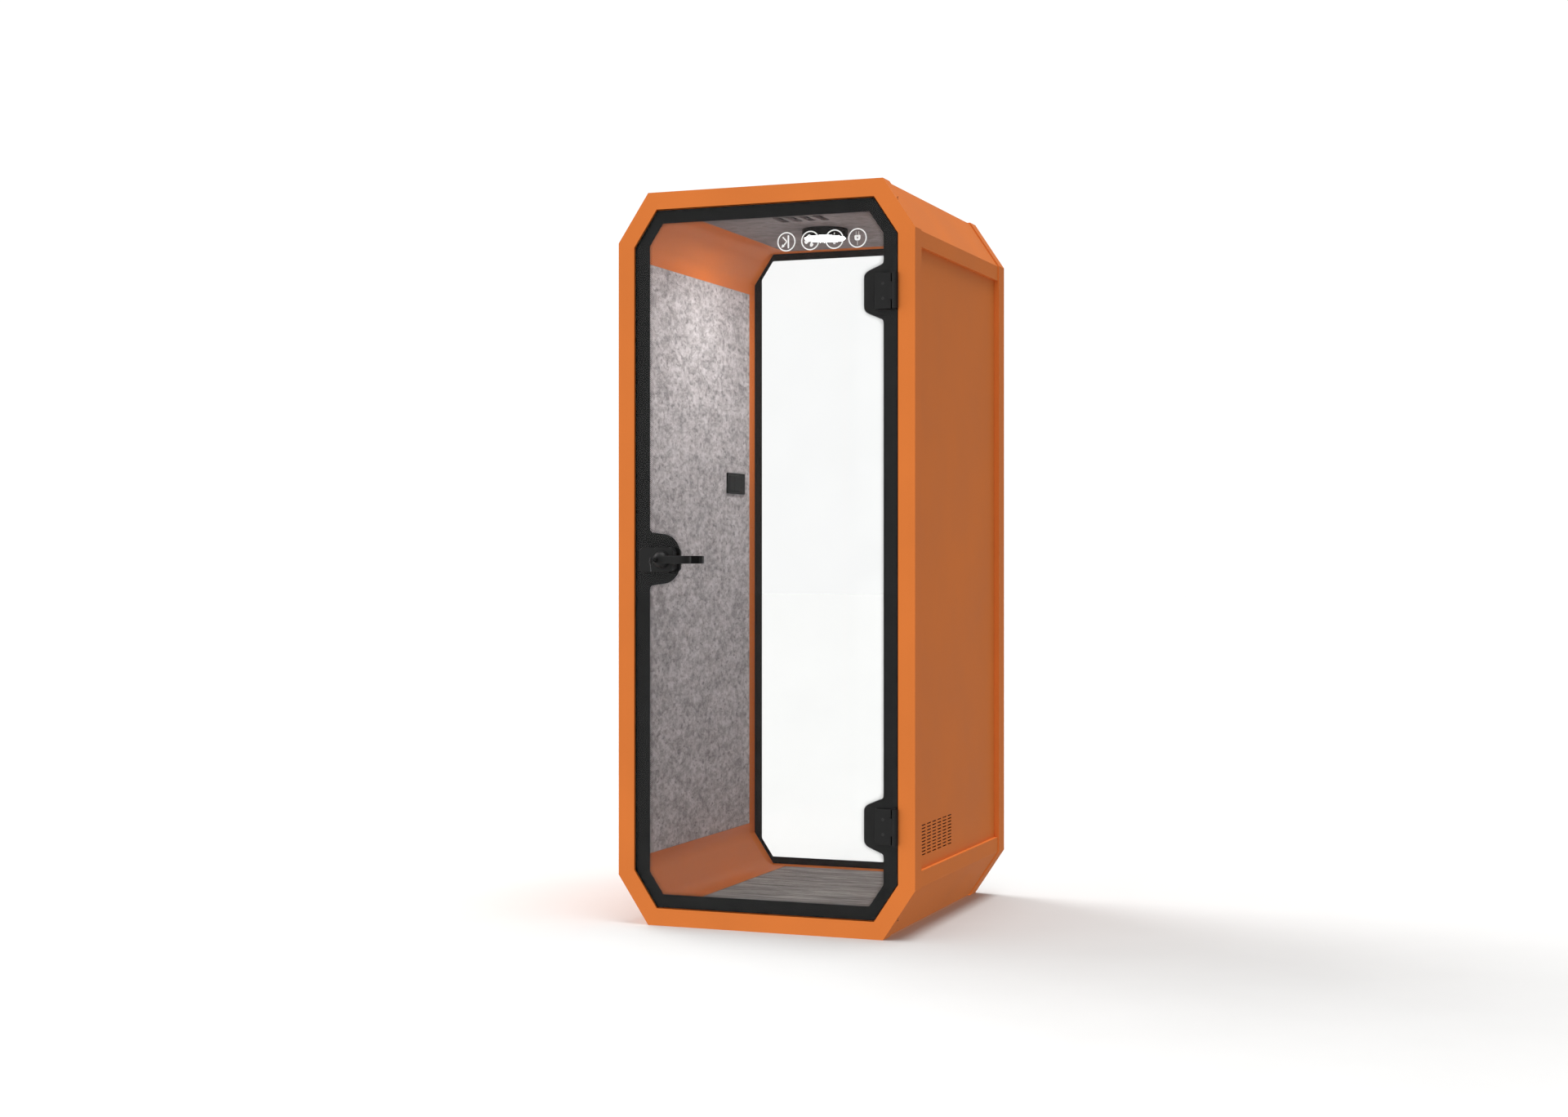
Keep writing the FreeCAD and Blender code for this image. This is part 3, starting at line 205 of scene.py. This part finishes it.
def felt(name, dark, middle, light, along):
    """Pressed polyester felt: cloudy blends of light and dark fibre, lying mostly along one axis."""
    g = Surface(name)
    lay = tuple(1.0 if axis == along else 1.7 for axis in range(3))
    cloud = g.noise(g.place(lay), 12.0, 4.0, 0.6, 0.4)
    clump = g.noise(g.place(lay), 38.0, 4.0, 0.62, 0.2)
    speck = g.noise(g.place(lay), 44.0, 2.0, 0.5, 0.2)
    fibre = g.noise(g.place(lay, (0.12, 0.08, 0.1)), 150.0, 5.0, 0.7, 0.4)
    fuzz = g.noise(g.place(), 1500.0, 2.0, 0.6)
    base = g.ramp(clump, [(0.38, dark), (0.5, middle), (0.62, light)])
    base = g.mix(0.35, base, g.ramp(cloud, [(0.38, dark), (0.5, middle), (0.62, light)]))
    base = g.mix(g.span(speck, 0.42, 0.30, 0.0, 0.7), base, tuple(c * 0.6 for c in dark))
    base = g.mix(0.5, base, g.ramp(fibre, [(0.36, (0.33, 0.33, 0.34)), (0.5, (0.5, 0.5, 0.5)),
                                           (0.64, (0.68, 0.68, 0.67))]), "OVERLAY")
    height = g.math("ADD", fibre, g.math("MULTIPLY", fuzz, 0.4))
    height = g.math("ADD", g.math("MULTIPLY", clump, 0.5), height)
    shader = g.principled(Roughness=g.span(fuzz, 0.3, 0.7, 0.88, 1.0), Normal=g.bump(height, 0.35, 0.0006),
                          **{"Base Color": base, "Specular IOR Level": 0.15, "Sheen Weight": 0.2,
                             "Sheen Roughness": 0.6})
    return g.finish(shader)


def carpet_pile(name):
    """Low ribbed pile; yarns of several greys run across the booth."""
    g = Surface(name)
    yarn = g.noise(g.place((1.0, 42.0, 1.0)), 6.0, 3.0, 0.6)
    band = g.noise(g.place((1.0, 14.0, 1.0)), 5.0, 4.0, 0.65)
    tuft = g.noise(g.place((1.0, 2.5, 1.0)), 420.0, 3.0, 0.7)
    base = g.ramp(yarn, [(0.36, (0.085, 0.079, 0.073)), (0.5, (0.31, 0.296, 0.283)),
                         (0.64, (0.66, 0.635, 0.61))])
    base = g.mix(0.35, base, g.ramp(band, [(0.38, (0.20, 0.19, 0.182)), (0.62, (0.46, 0.44, 0.422))]))
    base = g.mix(0.6, base, g.ramp(tuft, [(0.3, (0.2, 0.2, 0.2)), (0.7, (0.85, 0.85, 0.85))]), "OVERLAY")
    height = g.math("ADD", tuft, g.math("MULTIPLY", yarn, 0.8))
    shader = g.principled(Roughness=g.span(tuft, 0.3, 0.7, 0.85, 1.0), Normal=g.bump(height, 0.8, 0.0012),
                          **{"Base Color": base, "Specular IOR Level": 0.12, "Sheen Weight": 0.2,
                             "Sheen Roughness": 0.5})
    return g.finish(shader)


def pane(name):
    """Clear toughened glass: see-through faces, which mirror more the further they turn, and a dark edge."""
    g = Surface(name)
    wave = g.noise(g.place(), 5.0, 2.0, 0.5)
    tint = g.ramp(wave, [(0.3, (0.972, 0.974, 0.973)), (0.7, (0.978, 0.98, 0.979))])
    clear = g.node("BsdfTransparent", {"Color": tint})
    mirror = g.node("BsdfGlossy", {"Color": (1.0, 1.0, 1.0), "Roughness": 0.0})
    share = g.node("Fresnel", {"IOR": 1.18}).outputs[0]
    face = g.node("MixShader", {0: share, 1: clear.outputs[0], 2: mirror.outputs[0]})
    facing = g.node("NewGeometry").outputs["True Normal"]
    own = g.node("VectorTransform", {"Vector": facing}, vector_type="NORMAL",
                 convert_from="WORLD", convert_to="OBJECT").outputs[0]
    across = g.node("SeparateXYZ", {"Vector": own}).outputs["Y"]
    flat = g.math("GREATER_THAN", g.math("ABSOLUTE", across), 0.5)
    green = g.ramp(wave, [(0.3, (0.012, 0.03, 0.024)), (0.7, (0.02, 0.042, 0.034))])
    edge = g.principled(Roughness=0.25, **{"Base Color": green})
    return g.finish(g.node("MixShader", {0: flat, 1: edge.outputs[0], 2: face.outputs[0]}))


def enamel(name, dark, light, rough, gleam, glow=0.0):
    """Fired enamel on glass: nearly even, with faint pinholes and screen texture. A glow above zero paints
    light into it as emission, though it is no lamp.
    """
    g = Surface(name)
    cloud = g.noise(g.place(), 22.0, 4.0, 0.6)
    screen = g.noise(g.place(), 1800.0, 1.0, 0.5)
    base = g.ramp(cloud, [(0.3, dark), (0.7, light)])
    shader = g.principled(Roughness=g.span(screen, 0.3, 0.7, rough - 0.05, rough + 0.05),
                          Normal=g.bump(screen, 0.15, 0.00003),
                          **{"Base Color": base, "Specular IOR Level": gleam,
                             "Emission Color": (1.0, 1.0, 1.0), "Emission Strength": glow})
    return g.finish(shader)


def opal(name, strength):
    """Lit opal diffuser, a little dimmer towards its rim."""
    g = Surface(name)
    low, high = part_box("lamp_diffuser")
    centre = (low + high) / 2
    radius = (high.x - low.x) / 2
    offset = g.node("VectorMath", {0: g.place(), 1: tuple(centre)}, operation="SUBTRACT").outputs[0]
    flat = g.node("VectorMath", {0: offset, 1: (1.0, 1.0, 0.0)}, operation="MULTIPLY").outputs[0]
    reach = g.node("VectorMath", {0: flat}, operation="LENGTH").outputs["Value"]
    grain = g.noise(g.place(), 500.0, 2.0, 0.5)
    glow = g.span(reach, 0.0, radius, strength, strength * 0.72)
    base = g.ramp(grain, [(0.3, (0.88, 0.88, 0.86)), (0.7, (0.94, 0.94, 0.92))])
    shader = g.principled(Roughness=g.span(grain, 0.3, 0.7, 0.4, 0.5),
                          **{"Base Color": base, "Emission Color": (1.0, 0.975, 0.94),
                             "Emission Strength": glow})
    return g.finish(shader)


def timber(name):
    g = Surface(name)
    rings = g.noise(g.place((1.0, 0.12, 6.0)), 34.0, 5.0, 0.6, 1.0)
    base = g.ramp(rings, [(0.3, (0.34, 0.22, 0.12)), (0.55, (0.5, 0.35, 0.2)), (0.75, (0.6, 0.45, 0.28))])
    shader = g.principled(Roughness=0.6, Normal=g.bump(rings, 0.2, 0.0003), **{"Base Color": base})
    return g.finish(shader)


def fibre_board(name):
    g = Surface(name)
    strand = g.noise(g.place((1.0, 1.0, 0.5)), 160.0, 5.0, 0.75, 1.5)
    base = g.ramp(strand, [(0.3, (0.028, 0.018, 0.014)), (0.7, (0.075, 0.045, 0.034))])
    shader = g.principled(Roughness=0.95, Normal=g.bump(strand, 0.6, 0.001), **{"Base Color": base})
    return g.finish(shader)


def circuit_board(name):
    g = Surface(name)
    spots = g.voronoi(90.0).outputs["Distance"]
    base = g.ramp(spots, [(0.18, (0.85, 0.75, 0.2)), (0.24, (0.82, 0.84, 0.83))])
    shader = g.principled(Roughness=0.45, **{"Base Color": base})
    return g.finish(shader)


orange = (0.74, 0.202, 0.042)
materials = {
    "powder_orange": powder_coat("powder_orange", orange, 0.65, gleam=0.07),
    "liner_orange": powder_coat("liner_orange", orange, 0.45, gleam=0.12),
    "galvanised_steel": galvanised("galvanised_steel"),
    "insulation_board": fibre_board("insulation_board"),
    "plywood": timber("plywood"),
    "wall_felt": felt("wall_felt", (0.27, 0.258, 0.268), (0.475, 0.458, 0.474), (0.67, 0.65, 0.672), 1),
    "ceiling_felt": felt("ceiling_felt", (0.10, 0.083, 0.084), (0.18, 0.152, 0.153), (0.27, 0.235, 0.236), 0),
    "carpet": carpet_pile("carpet"),
    "clear_glass": pane("clear_glass"),
    "black_print": enamel("black_print", (0.0045, 0.0045, 0.0045), (0.0075, 0.0075, 0.0075), 0.45, 0.18),
    "black_rubber": rubber("black_rubber"),
    "black_metal": powder_coat("black_metal", (0.0105, 0.0105, 0.0105), 0.45, 0.00004, 0.2),
    "black_screw": brushed("black_screw", (0.05, 0.05, 0.05), 0.35, (1.0, 1.0, 0.1)),
    "black_plastic": moulded_plastic("black_plastic", (0.009, 0.009, 0.009), 0.6),
    "lamp_opal": opal("lamp_opal", 165.0),
    "circuit_board": circuit_board("circuit_board"),
    "bright_steel": brushed("bright_steel", (0.075, 0.073, 0.072), 0.4, (0.1, 1.0, 1.0)),
    "dark_steel": brushed("dark_steel", (0.09, 0.09, 0.092), 0.3, (1.0, 1.0, 0.1)),
}
# The white print gets a painted glow: emission 0.14, though it is no lamp, so it reads brighter than its
# lighting makes it.
white_print_painted_glow = enamel("white_print_painted_glow", (0.90, 0.90, 0.89), (0.95, 0.95, 0.94), 0.5, 0.3, 0.14)

slot_of = {entry["node"]: entry["material_slot"] for entry in frame["record"]["subparts"]}
for name, piece in nodes.items():
    for held in piece.material_slots:
        held.material = materials[slot_of[name]]


# ---------------------------------------------------------------- mesh helpers
def piece_from(name, points, faces, material, body, smooth=False):
    mesh = bpy.data.meshes.new(name)
    mesh.from_pydata(points, [], faces)
    mesh.materials.append(material)
    if smooth:
        mesh.polygons.foreach_set("use_smooth", [True] * len(mesh.polygons))
    mesh.update()
    piece = bpy.data.objects.new(name, mesh)
    bpy.context.scene.collection.objects.link(piece)
    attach(piece, body)
    return piece


def lines_over(length, fine, cell):
    """Grid lines over a length, close together at both ends and one cell apart between them."""
    count = max(1, round((length - 2 * fine[-1]) / cell))
    middle = [fine[-1] + (length - 2 * fine[-1]) * i / count for i in range(count + 1)]
    return fine[:-1] + middle + [length - f for f in reversed(fine[:-1])]


def slab(corner, u_axis, v_axis, out, u_lines, v_lines, thickness, relief):
    """Closed board on a grid. relief(u, v) says how far its visible face lies below the board's face."""
    points, faces = [], []
    columns, rows = len(u_lines), len(v_lines)
    for back in (False, True):
        for u in u_lines:
            for v in v_lines:
                drop = thickness if back else relief(u, v)
                points.append(tuple(corner + u_axis * u + v_axis * v - out * drop))
    shift = columns * rows

    def index(i, j, back=False):
        return i * rows + j + (shift if back else 0)

    for i in range(columns - 1):
        for j in range(rows - 1):
            corners = ((i, j), (i + 1, j), (i + 1, j + 1), (i, j + 1))
            faces.append(tuple(index(*at) for at in corners))
            faces.append(tuple(index(*corners[k], True) for k in (0, 3, 2, 1)))
    rim = [(i, 0) for i in range(columns)] + [(columns - 1, j) for j in range(1, rows)]
    rim += [(i, rows - 1) for i in range(columns - 2, -1, -1)] + [(0, j) for j in range(rows - 2, 0, -1)]
    for a, b in zip(rim, rim[1:] + rim[:1]):
        faces.append((index(*b), index(*a), index(*a, True), index(*b, True)))
    if u_axis.cross(v_axis).dot(out) < 0:
        faces = [tuple(reversed(face)) for face in faces]
    return points, faces


def cut_away(piece, cutters):
    """Takes closed cutter meshes out of a piece, and leaves no modifier on it."""
    for points, faces in cutters:
        mesh = bpy.data.meshes.new("cutter")
        mesh.from_pydata(points, [], faces)
        tool = bpy.data.objects.new("cutter", mesh)
        bpy.context.scene.collection.objects.link(tool)
        step = piece.modifiers.new("cut", "BOOLEAN")
        step.operation = "DIFFERENCE"
        step.solver = "EXACT"
        step.object = tool
        bpy.context.view_layer.update()
        result = bpy.data.meshes.new_from_object(piece.evaluated_get(bpy.context.evaluated_depsgraph_get()))
        piece.modifiers.remove(step)
        old, piece.data = piece.data, result
        bpy.data.meshes.remove(old)
        bpy.data.objects.remove(tool)
        bpy.data.meshes.remove(mesh)


def extruded(outline, low, high):
    """Closed prism between two heights, from a counter-clockwise (x, y) outline."""
    count = len(outline)
    points = [(x, y, low) for x, y in outline] + [(x, y, high) for x, y in outline]
    faces = [tuple(reversed(range(count))), tuple(range(count, 2 * count))]
    faces += [(i, (i + 1) % count, count + (i + 1) % count, count + i) for i in range(count)]
    return points, faces


# ---------------------------------------------------------------- felt lining
MM = 0.001
felt_edge = 1.6 * MM          # radius of a board's rounded edge
felt_cell = 11 * MM
cutter_past = 0.02            # how far a cutter reaches past the board


def felt_relief(length, width, seed):
    def relief(u, v):
        inset = min(u, v, length - u, width - v)
        drop = 0.12 * MM
        if inset < felt_edge:
            drop += felt_edge - math.sqrt(max(0.0, felt_edge ** 2 - (felt_edge - inset) ** 2))
        drop += 0.22 * MM * (1 + noise.noise(Vector((u * 26, v * 26, seed))))
        drop += 0.10 * MM * (1 + noise.noise(Vector((u * 90, v * 90, seed + 7))))
        return drop
    return relief


def felt_board(node, corner, u_axis, v_axis, out, length, width, seed, slot, cutters=()):
    fine = [0.0, 0.25 * MM, 0.8 * MM, felt_edge, 4 * MM]
    thickness = min(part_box(node)[1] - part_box(node)[0])
    points, faces = slab(corner, u_axis, v_axis, out, lines_over(length, fine, felt_cell),
                         lines_over(width, fine, felt_cell), thickness, felt_relief(length, width, seed))
    board = piece_from(node + "_board", points, faces, materials[slot], "booth", smooth=True)
    cut_away(board, cutters)
    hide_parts(node)


X, Y, Z = Vector((1, 0, 0)), Vector((0, 1, 0)), Vector((0, 0, 1))

low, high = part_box("right_felt_panel")
felt_board("right_felt_panel", Vector((low.x, low.y, low.z)), Y, Z, -X, high.y - low.y, high.z - low.z, 3.0,
           "wall_felt")

low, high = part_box("left_felt_panel")
box_low, box_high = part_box("wall_back_box")
past_low, past_high = low.x - cutter_past, high.x + cutter_past
pocket_outline = [(past_low, box_low.y), (past_high, box_low.y),
                  (past_high, box_high.y), (past_low, box_high.y)]
pocket = extruded(pocket_outline, box_low.z, box_high.z)
felt_board("left_felt_panel", Vector((high.x, low.y, low.z)), Y, Z, X, high.y - low.y, high.z - low.z, 9.0,
           "wall_felt", [pocket])

low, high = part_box("ceiling_felt_panel")
plenum_low, plenum_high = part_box("fan_plenum")
vent_middle = (plenum_low + plenum_high) / 2
slot_width, slot_length, slot_pitch, slot_count = 27 * MM, 105 * MM, 45 * MM, 4
arc_steps = 12
slots = []
for index in range(slot_count):
    x = vent_middle.x + (index - (slot_count - 1) / 2) * slot_pitch
    outline = []
    for end in (1, -1):
        for step in range(arc_steps + 1):
            turn = math.pi * step / arc_steps + (0 if end > 0 else math.pi)
            outline.append((x + slot_width / 2 * math.cos(turn),
                            vent_middle.y + end * (slot_length - slot_width) / 2
                            + slot_width / 2 * math.sin(turn)))
    slots.append(extruded(outline, low.z - cutter_past, high.z + cutter_past))
felt_board("ceiling_felt_panel", Vector((low.x, low.y, low.z)), X, Y, -Z, high.x - low.x, high.y - low.y, 5.0,
           "ceiling_felt", slots)

# ---------------------------------------------------------------- carpet
low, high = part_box("carpet")
rib_pitch = 4.8 * MM          # fitted below to a whole number of ribs
rib_steps = 6
carpet_edge = 1.2 * MM


def rib_relief(u, v):
    phase = (v / rib_pitch) % 1.0
    groove = 0.5 - 0.5 * math.cos(2 * math.pi * phase)
    row = math.floor(v / rib_pitch)
    loop = noise.noise(Vector((u * 60, row * 3.1, 0.0)))
    edge = min(u, v, high.x - low.x - u, high.y - low.y - v)
    return (1.15 * (1 - groove) + 0.3 * (1 + loop)) * MM + max(0.0, carpet_edge - edge)


ribs = round((high.y - low.y) / rib_pitch)
rib_pitch = (high.y - low.y) / ribs
across = [(high.y - low.y) * i / (ribs * rib_steps) for i in range(ribs * rib_steps + 1)]
along = lines_over(high.x - low.x, [0.0, carpet_edge], 14 * MM)
points, faces = slab(Vector((low.x, low.y, high.z)), X, Y, Z, along, across, high.z - low.z, rib_relief)
pile = piece_from("carpet_pile", points, faces, materials["carpet"], "booth", smooth=True)
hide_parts("carpet")


# ---------------------------------------------------------------- print on the door glass
print_face = print_low.y          # the glass's inner face, where the enamel lies
print_skin = 0.15 * MM


def printed(name, outlines, material):
    """Thin closed islands on the glass's inner face, from counter-clockwise (x, z) outlines.

    A pair of outlines is a ring: the outer and the inner one.
    """
    points, faces = [], []
    for outline in outlines:
        outer, inner = outline if isinstance(outline, tuple) else (outline, None)
        start, count = len(points), len(outer)
        loops = [outer] if inner is None else [outer, inner]
        for y in (print_face, print_face + print_skin):
            for loop in loops:
                points += [(x, y, z) for x, z in loop]
        if inner is None:
            faces.append(tuple(start + i for i in range(count)))
            faces.append(tuple(start + count + i for i in reversed(range(count))))
            for i in range(count):
                j = (i + 1) % count
                faces.append((start + j, start + i, start + count + i, start + count + j))
        else:
            for i in range(count):
                j = (i + 1) % count
                a, b, c, d = start, start + count, start + 2 * count, start + 3 * count
                faces.append((a + i, a + j, b + j, b + i))
                faces.append((c + j, c + i, d + i, d + j))
                faces.append((a + j, a + i, c + i, c + j))
                faces.append((b + i, b + j, d + j, d + i))
    return piece_from(name, points, faces, material, "door")


def circle(x, z, radius, count=48, start=0.0, end=2 * math.pi):
    whole = abs(end - start - 2 * math.pi) < 1e-6
    steps = count if whole else count + 1
    return [(x + radius * math.cos(start + (end - start) * i / count),
             z + radius * math.sin(start + (end - start) * i / count)) for i in range(steps)]


def stroke(x0, z0, x1, z1, width):
    """Straight line with round ends."""
    turn = math.atan2(z1 - z0, x1 - x0)
    return (circle(x1, z1, width / 2, 8, turn - math.pi / 2, turn + math.pi / 2)
            + circle(x0, z0, width / 2, 8, turn + math.pi / 2, turn + 3 * math.pi / 2))


def scaled(shapes, x, z, size):
    """Shapes drawn on a unit disc, carried to their place on the glass."""
    def move(loop):
        return [(x + px * size, z + pz * size) for px, pz in loop]
    return [tuple(move(loop) for loop in shape) if isinstance(shape, tuple) else move(shape)
            for shape in shapes]


ring = (circle(0, 0, 1.0, 72), circle(0, 0, 0.87, 72))

# sound that bounces off a wall
sound = [ring, stroke(0.22, -0.60, 0.22, 0.60, 0.17), stroke(-0.36, 0.46, 0.02, 0.05, 0.14),
         stroke(0.0, -0.04, -0.26, -0.32, 0.14), [(-0.56, -0.60), (-0.18, -0.48), (-0.44, -0.22)]]

# fan with four curved blades
blades = []
for quarter in range(4):
    swing = quarter * math.pi / 2
    blade = []
    for r, a in ((0.20, 0.20), (0.34, 0.02), (0.50, -0.10), (0.62, 0.0), (0.66, 0.22), (0.63, 0.48),
                 (0.54, 0.66), (0.42, 0.74), (0.30, 0.72), (0.20, 0.80)):
        blade.append((r * math.cos(swing + a), r * math.sin(swing + a)))
    blades.append(blade)
fan = [ring, circle(0, 0, 0.14, 24)] + blades

# lit bulb with rays
bulb_outer = circle(0, 0.04, 0.33, 28, -0.95, math.pi + 0.95)
bulb_inner = circle(0, 0.04, 0.24, 28, -0.95, math.pi + 0.95)
bulb = [ring, bulb_outer + list(reversed(bulb_inner)),
        stroke(-0.13, -0.34, 0.13, -0.34, 0.08), stroke(-0.09, -0.46, 0.09, -0.46, 0.08)]
for turn in (-0.1, 0.62, math.pi / 2, math.pi - 0.62, math.pi + 0.1):
    bulb.append(stroke(0.45 * math.cos(turn), 0.04 + 0.45 * math.sin(turn),
                       0.6 * math.cos(turn), 0.04 + 0.6 * math.sin(turn), 0.07))

# mains plug: a body with an eye, two thin pins and a thin lead
plug_body = [(-0.32, 0.24), (-0.32, -0.04), (-0.27, -0.17), (-0.16, -0.25), (0.16, -0.25), (0.27, -0.17),
             (0.32, -0.04), (0.32, 0.24), (0.26, 0.29), (-0.26, 0.29)]
plug = [ring, (plug_body, [(px * 0.26, (pz - 0.02) * 0.3 + 0.02) for px, pz in plug_body]),
        stroke(-0.15, 0.33, -0.15, 0.66, 0.035), stroke(0.15, 0.33, 0.15, 0.66, 0.035),
        stroke(0.0, -0.29, 0.0, -0.72, 0.035)]

symbol_radius = 29.8 * MM
symbol_height = front_high.z - 0.176
symbols = (("sound", sound, 0.0726), ("fan", fan, 0.1507), ("lamp", bulb, 0.229), ("mains", plug, 0.3033))
for label, shapes, x in symbols:
    printed(label + "_symbol", scaled(shapes, x, symbol_height, symbol_radius), white_print_painted_glow)


# ---------------------------------------------------------------- dotted fringe along the printed border
def mask_triangles():
    """The printed border's flat face, as (x, z) triangles."""
    mesh = nodes["door_glass_print"].data
    mesh.calc_loop_triangles()
    found = []
    for triangle in mesh.loop_triangles:
        if abs(triangle.normal.y) > 0.9:
            corners = [mesh.vertices[i].co for i in triangle.vertices]
            if all(abs(c.y - print_low.y) < 0.02 * MM for c in corners):
                found.append([(c.x, c.z) for c in corners])
    return np.array(found)


def covered(points, triangles):
    """True where a point lies on the print."""
    inside = np.zeros(len(points), bool)
    for a, b, c in triangles:
        low_x, high_x = min(a[0], b[0], c[0]), max(a[0], b[0], c[0])
        near = np.where((points[:, 0] >= low_x) & (points[:, 0] <= high_x))[0]
        if not len(near):
            continue
        p = points[near]
        sides = []
        for s, e in ((a, b), (b, c), (c, a)):
            sides.append((e[0] - s[0]) * (p[:, 1] - s[1]) - (e[1] - s[1]) * (p[:, 0] - s[0]))
        sides = np.array(sides)
        inside[near] |= (sides >= 0).all(0) | (sides <= 0).all(0)
    return inside


dot_pitch = 4.2 * MM
largest_dot = 0.42            # radius, as a share of the pitch
smallest_dot = 0.3 * MM
soft_reach, wide_reach = 8.5 * MM, 20 * MM
triangles = mask_triangles()
grid = 1.1 * MM
margin = 0.03
mask_x = np.arange(print_low.x - margin, print_high.x + margin, grid)
mask_z = np.arange(print_low.z - margin, print_high.z + margin, grid)
places = np.stack(np.meshgrid(mask_x, mask_z, indexing="ij"), -1).reshape(-1, 2)
mask = covered(places, triangles)
reach_x, reach_z = (door_high.x - door_low.x) / 2, (door_high.z - door_low.z) / 2
middle = Vector(((door_low.x + door_high.x) / 2, 0, (door_low.z + door_high.z) / 2))
outer = (np.abs(places[:, 0] - middle.x) > reach_x) | (np.abs(places[:, 1] - middle.z) > reach_z)
mask = (mask | outer).reshape(len(mask_x), len(mask_z)).astype(float)


def blurred(field, radius):
    """Three box blurs each way, close to a Gaussian."""
    size = 2 * radius + 1
    for _ in range(3):
        for axis in (0, 1):
            margins = [(radius + 1, radius) if a == axis else (0, 0) for a in (0, 1)]
            padded = np.pad(field, margins, mode="edge")
            total = np.cumsum(np.insert(padded, 0, 0, axis=axis), axis=axis)
            upper = np.take(total, range(size + 1, total.shape[axis]), axis=axis)
            lower = np.take(total, range(1, total.shape[axis] - size), axis=axis)
            field = (upper - lower) / size
    return field


soft = blurred(mask, round(soft_reach / grid))
wide = blurred(mask, round(wide_reach / grid))
near_mask = blurred(mask, 1)
dots = []
step = dot_pitch / math.sqrt(2)
for row in range(int((print_high.z - print_low.z) / step) + 1):
    z = print_low.z + row * step
    for column in range(int((print_high.x - print_low.x) / (2 * step)) + 1):
        x = print_low.x + (2 * column + row % 2) * step
        i, j = round((x - mask_x[0]) / grid), round((z - mask_z[0]) / grid)
        if not (0 <= i < len(mask_x) and 0 <= j < len(mask_z)) or near_mask[i, j] > 0.6:
            continue
        share = max(0.0, soft[i, j] * 1.15 - 0.13, wide[i, j] * 1.5 - 0.62)
        radius = min(largest_dot, 0.56 * math.sqrt(share)) * dot_pitch
        if radius > smallest_dot:
            dots.append(circle(x, z, radius, 8, math.pi / 8, 2 * math.pi + math.pi / 8))
printed("door_glass_fringe", dots, materials["black_print"])

# ---------------------------------------------------------------- floor, light and camera
floor_mesh = bpy.data.meshes.new("studio_floor")
floor_reach = 60.0
floor_corners = [(x * floor_reach, y * floor_reach, 0) for x, y in ((-1, -1), (1, -1), (1, 1), (-1, 1))]
floor_mesh.from_pydata(floor_corners, [], [(0, 1, 2, 3)])
floor = bpy.data.objects.new("studio_floor", floor_mesh)
bpy.context.scene.collection.objects.link(floor)
g = Surface("studio_floor")
haze = g.noise(g.place(), 3.0, 3.0, 0.5)
paint = g.ramp(haze, [(0.3, (0.575, 0.575, 0.571)), (0.7, (0.585, 0.585, 0.581))])
floor_mesh.materials.append(g.finish(g.principled(
    Roughness=0.75, **{"Base Color": paint, "Specular IOR Level": 0.1})))
floor.visible_diffuse = False     # the studio's own light from below takes the place of the floor's bounce

world = bpy.data.worlds.new("studio")
bpy.context.scene.world = world
world.use_nodes = True
sky = Graph(world.node_tree)
direction = sky.node("SeparateXYZ", {"Vector": sky.node("TexCoord").outputs["Generated"]})
# brightness of the studio from each side: (axis, towards minus, towards plus)
studio_levels = (("X", 1.5, 0.05), ("Y", 1.14, 0.85), ("Z", 1.15, 0.60))
backdrop_level = 1.05         # what the camera sees past the floor
level = 0.0
for axis, minus, plus in studio_levels:
    part = direction.outputs[axis]
    side = sky.span(sky.math("SIGN", part), -1.0, 1.0, minus, plus)
    level = sky.math("ADD", level, sky.math("MULTIPLY", side, sky.math("MULTIPLY", part, part)))
seen = sky.node("LightPath").outputs["Is Camera Ray"]
strength = sky.node("Mix", {0: seen, 2: level, 3: backdrop_level}, data_type="FLOAT").outputs[0]
sky.finish(sky.node("Background", {"Color": (1.0, 1.0, 1.0), "Strength": strength}), "OutputWorld")


def sun(name, energy, spread, towards):
    """Soft light from one side: its strength, its angular size in degrees and the way it shines."""
    data = bpy.data.lights.new(name, "SUN")
    data.energy = energy
    data.angle = math.radians(spread)
    lamp = bpy.data.objects.new(name, data)
    bpy.context.scene.collection.objects.link(lamp)
    lamp.rotation_euler = Vector(towards).to_track_quat("-Z", "Y").to_euler()


sun("key_light", 1.9, 34, (0.80, -0.30, -0.78))
sun("top_light", 2.2, 30, (-0.16, 0.03, -0.98))

camera_data = bpy.data.cameras.new("camera")
camera_data.lens = 50.14
camera_data.sensor_width = 36.0
camera_data.clip_end = 300.0
camera = bpy.data.objects.new("camera", camera_data)
bpy.context.scene.collection.objects.link(camera)
camera.location = (2.4669, -6.7003, 1.1514)
camera.rotation_euler = (math.radians(90), 0, math.radians(20.98))
bpy.context.scene.camera = camera
bpy.context.scene.view_settings.view_transform = "Standard"
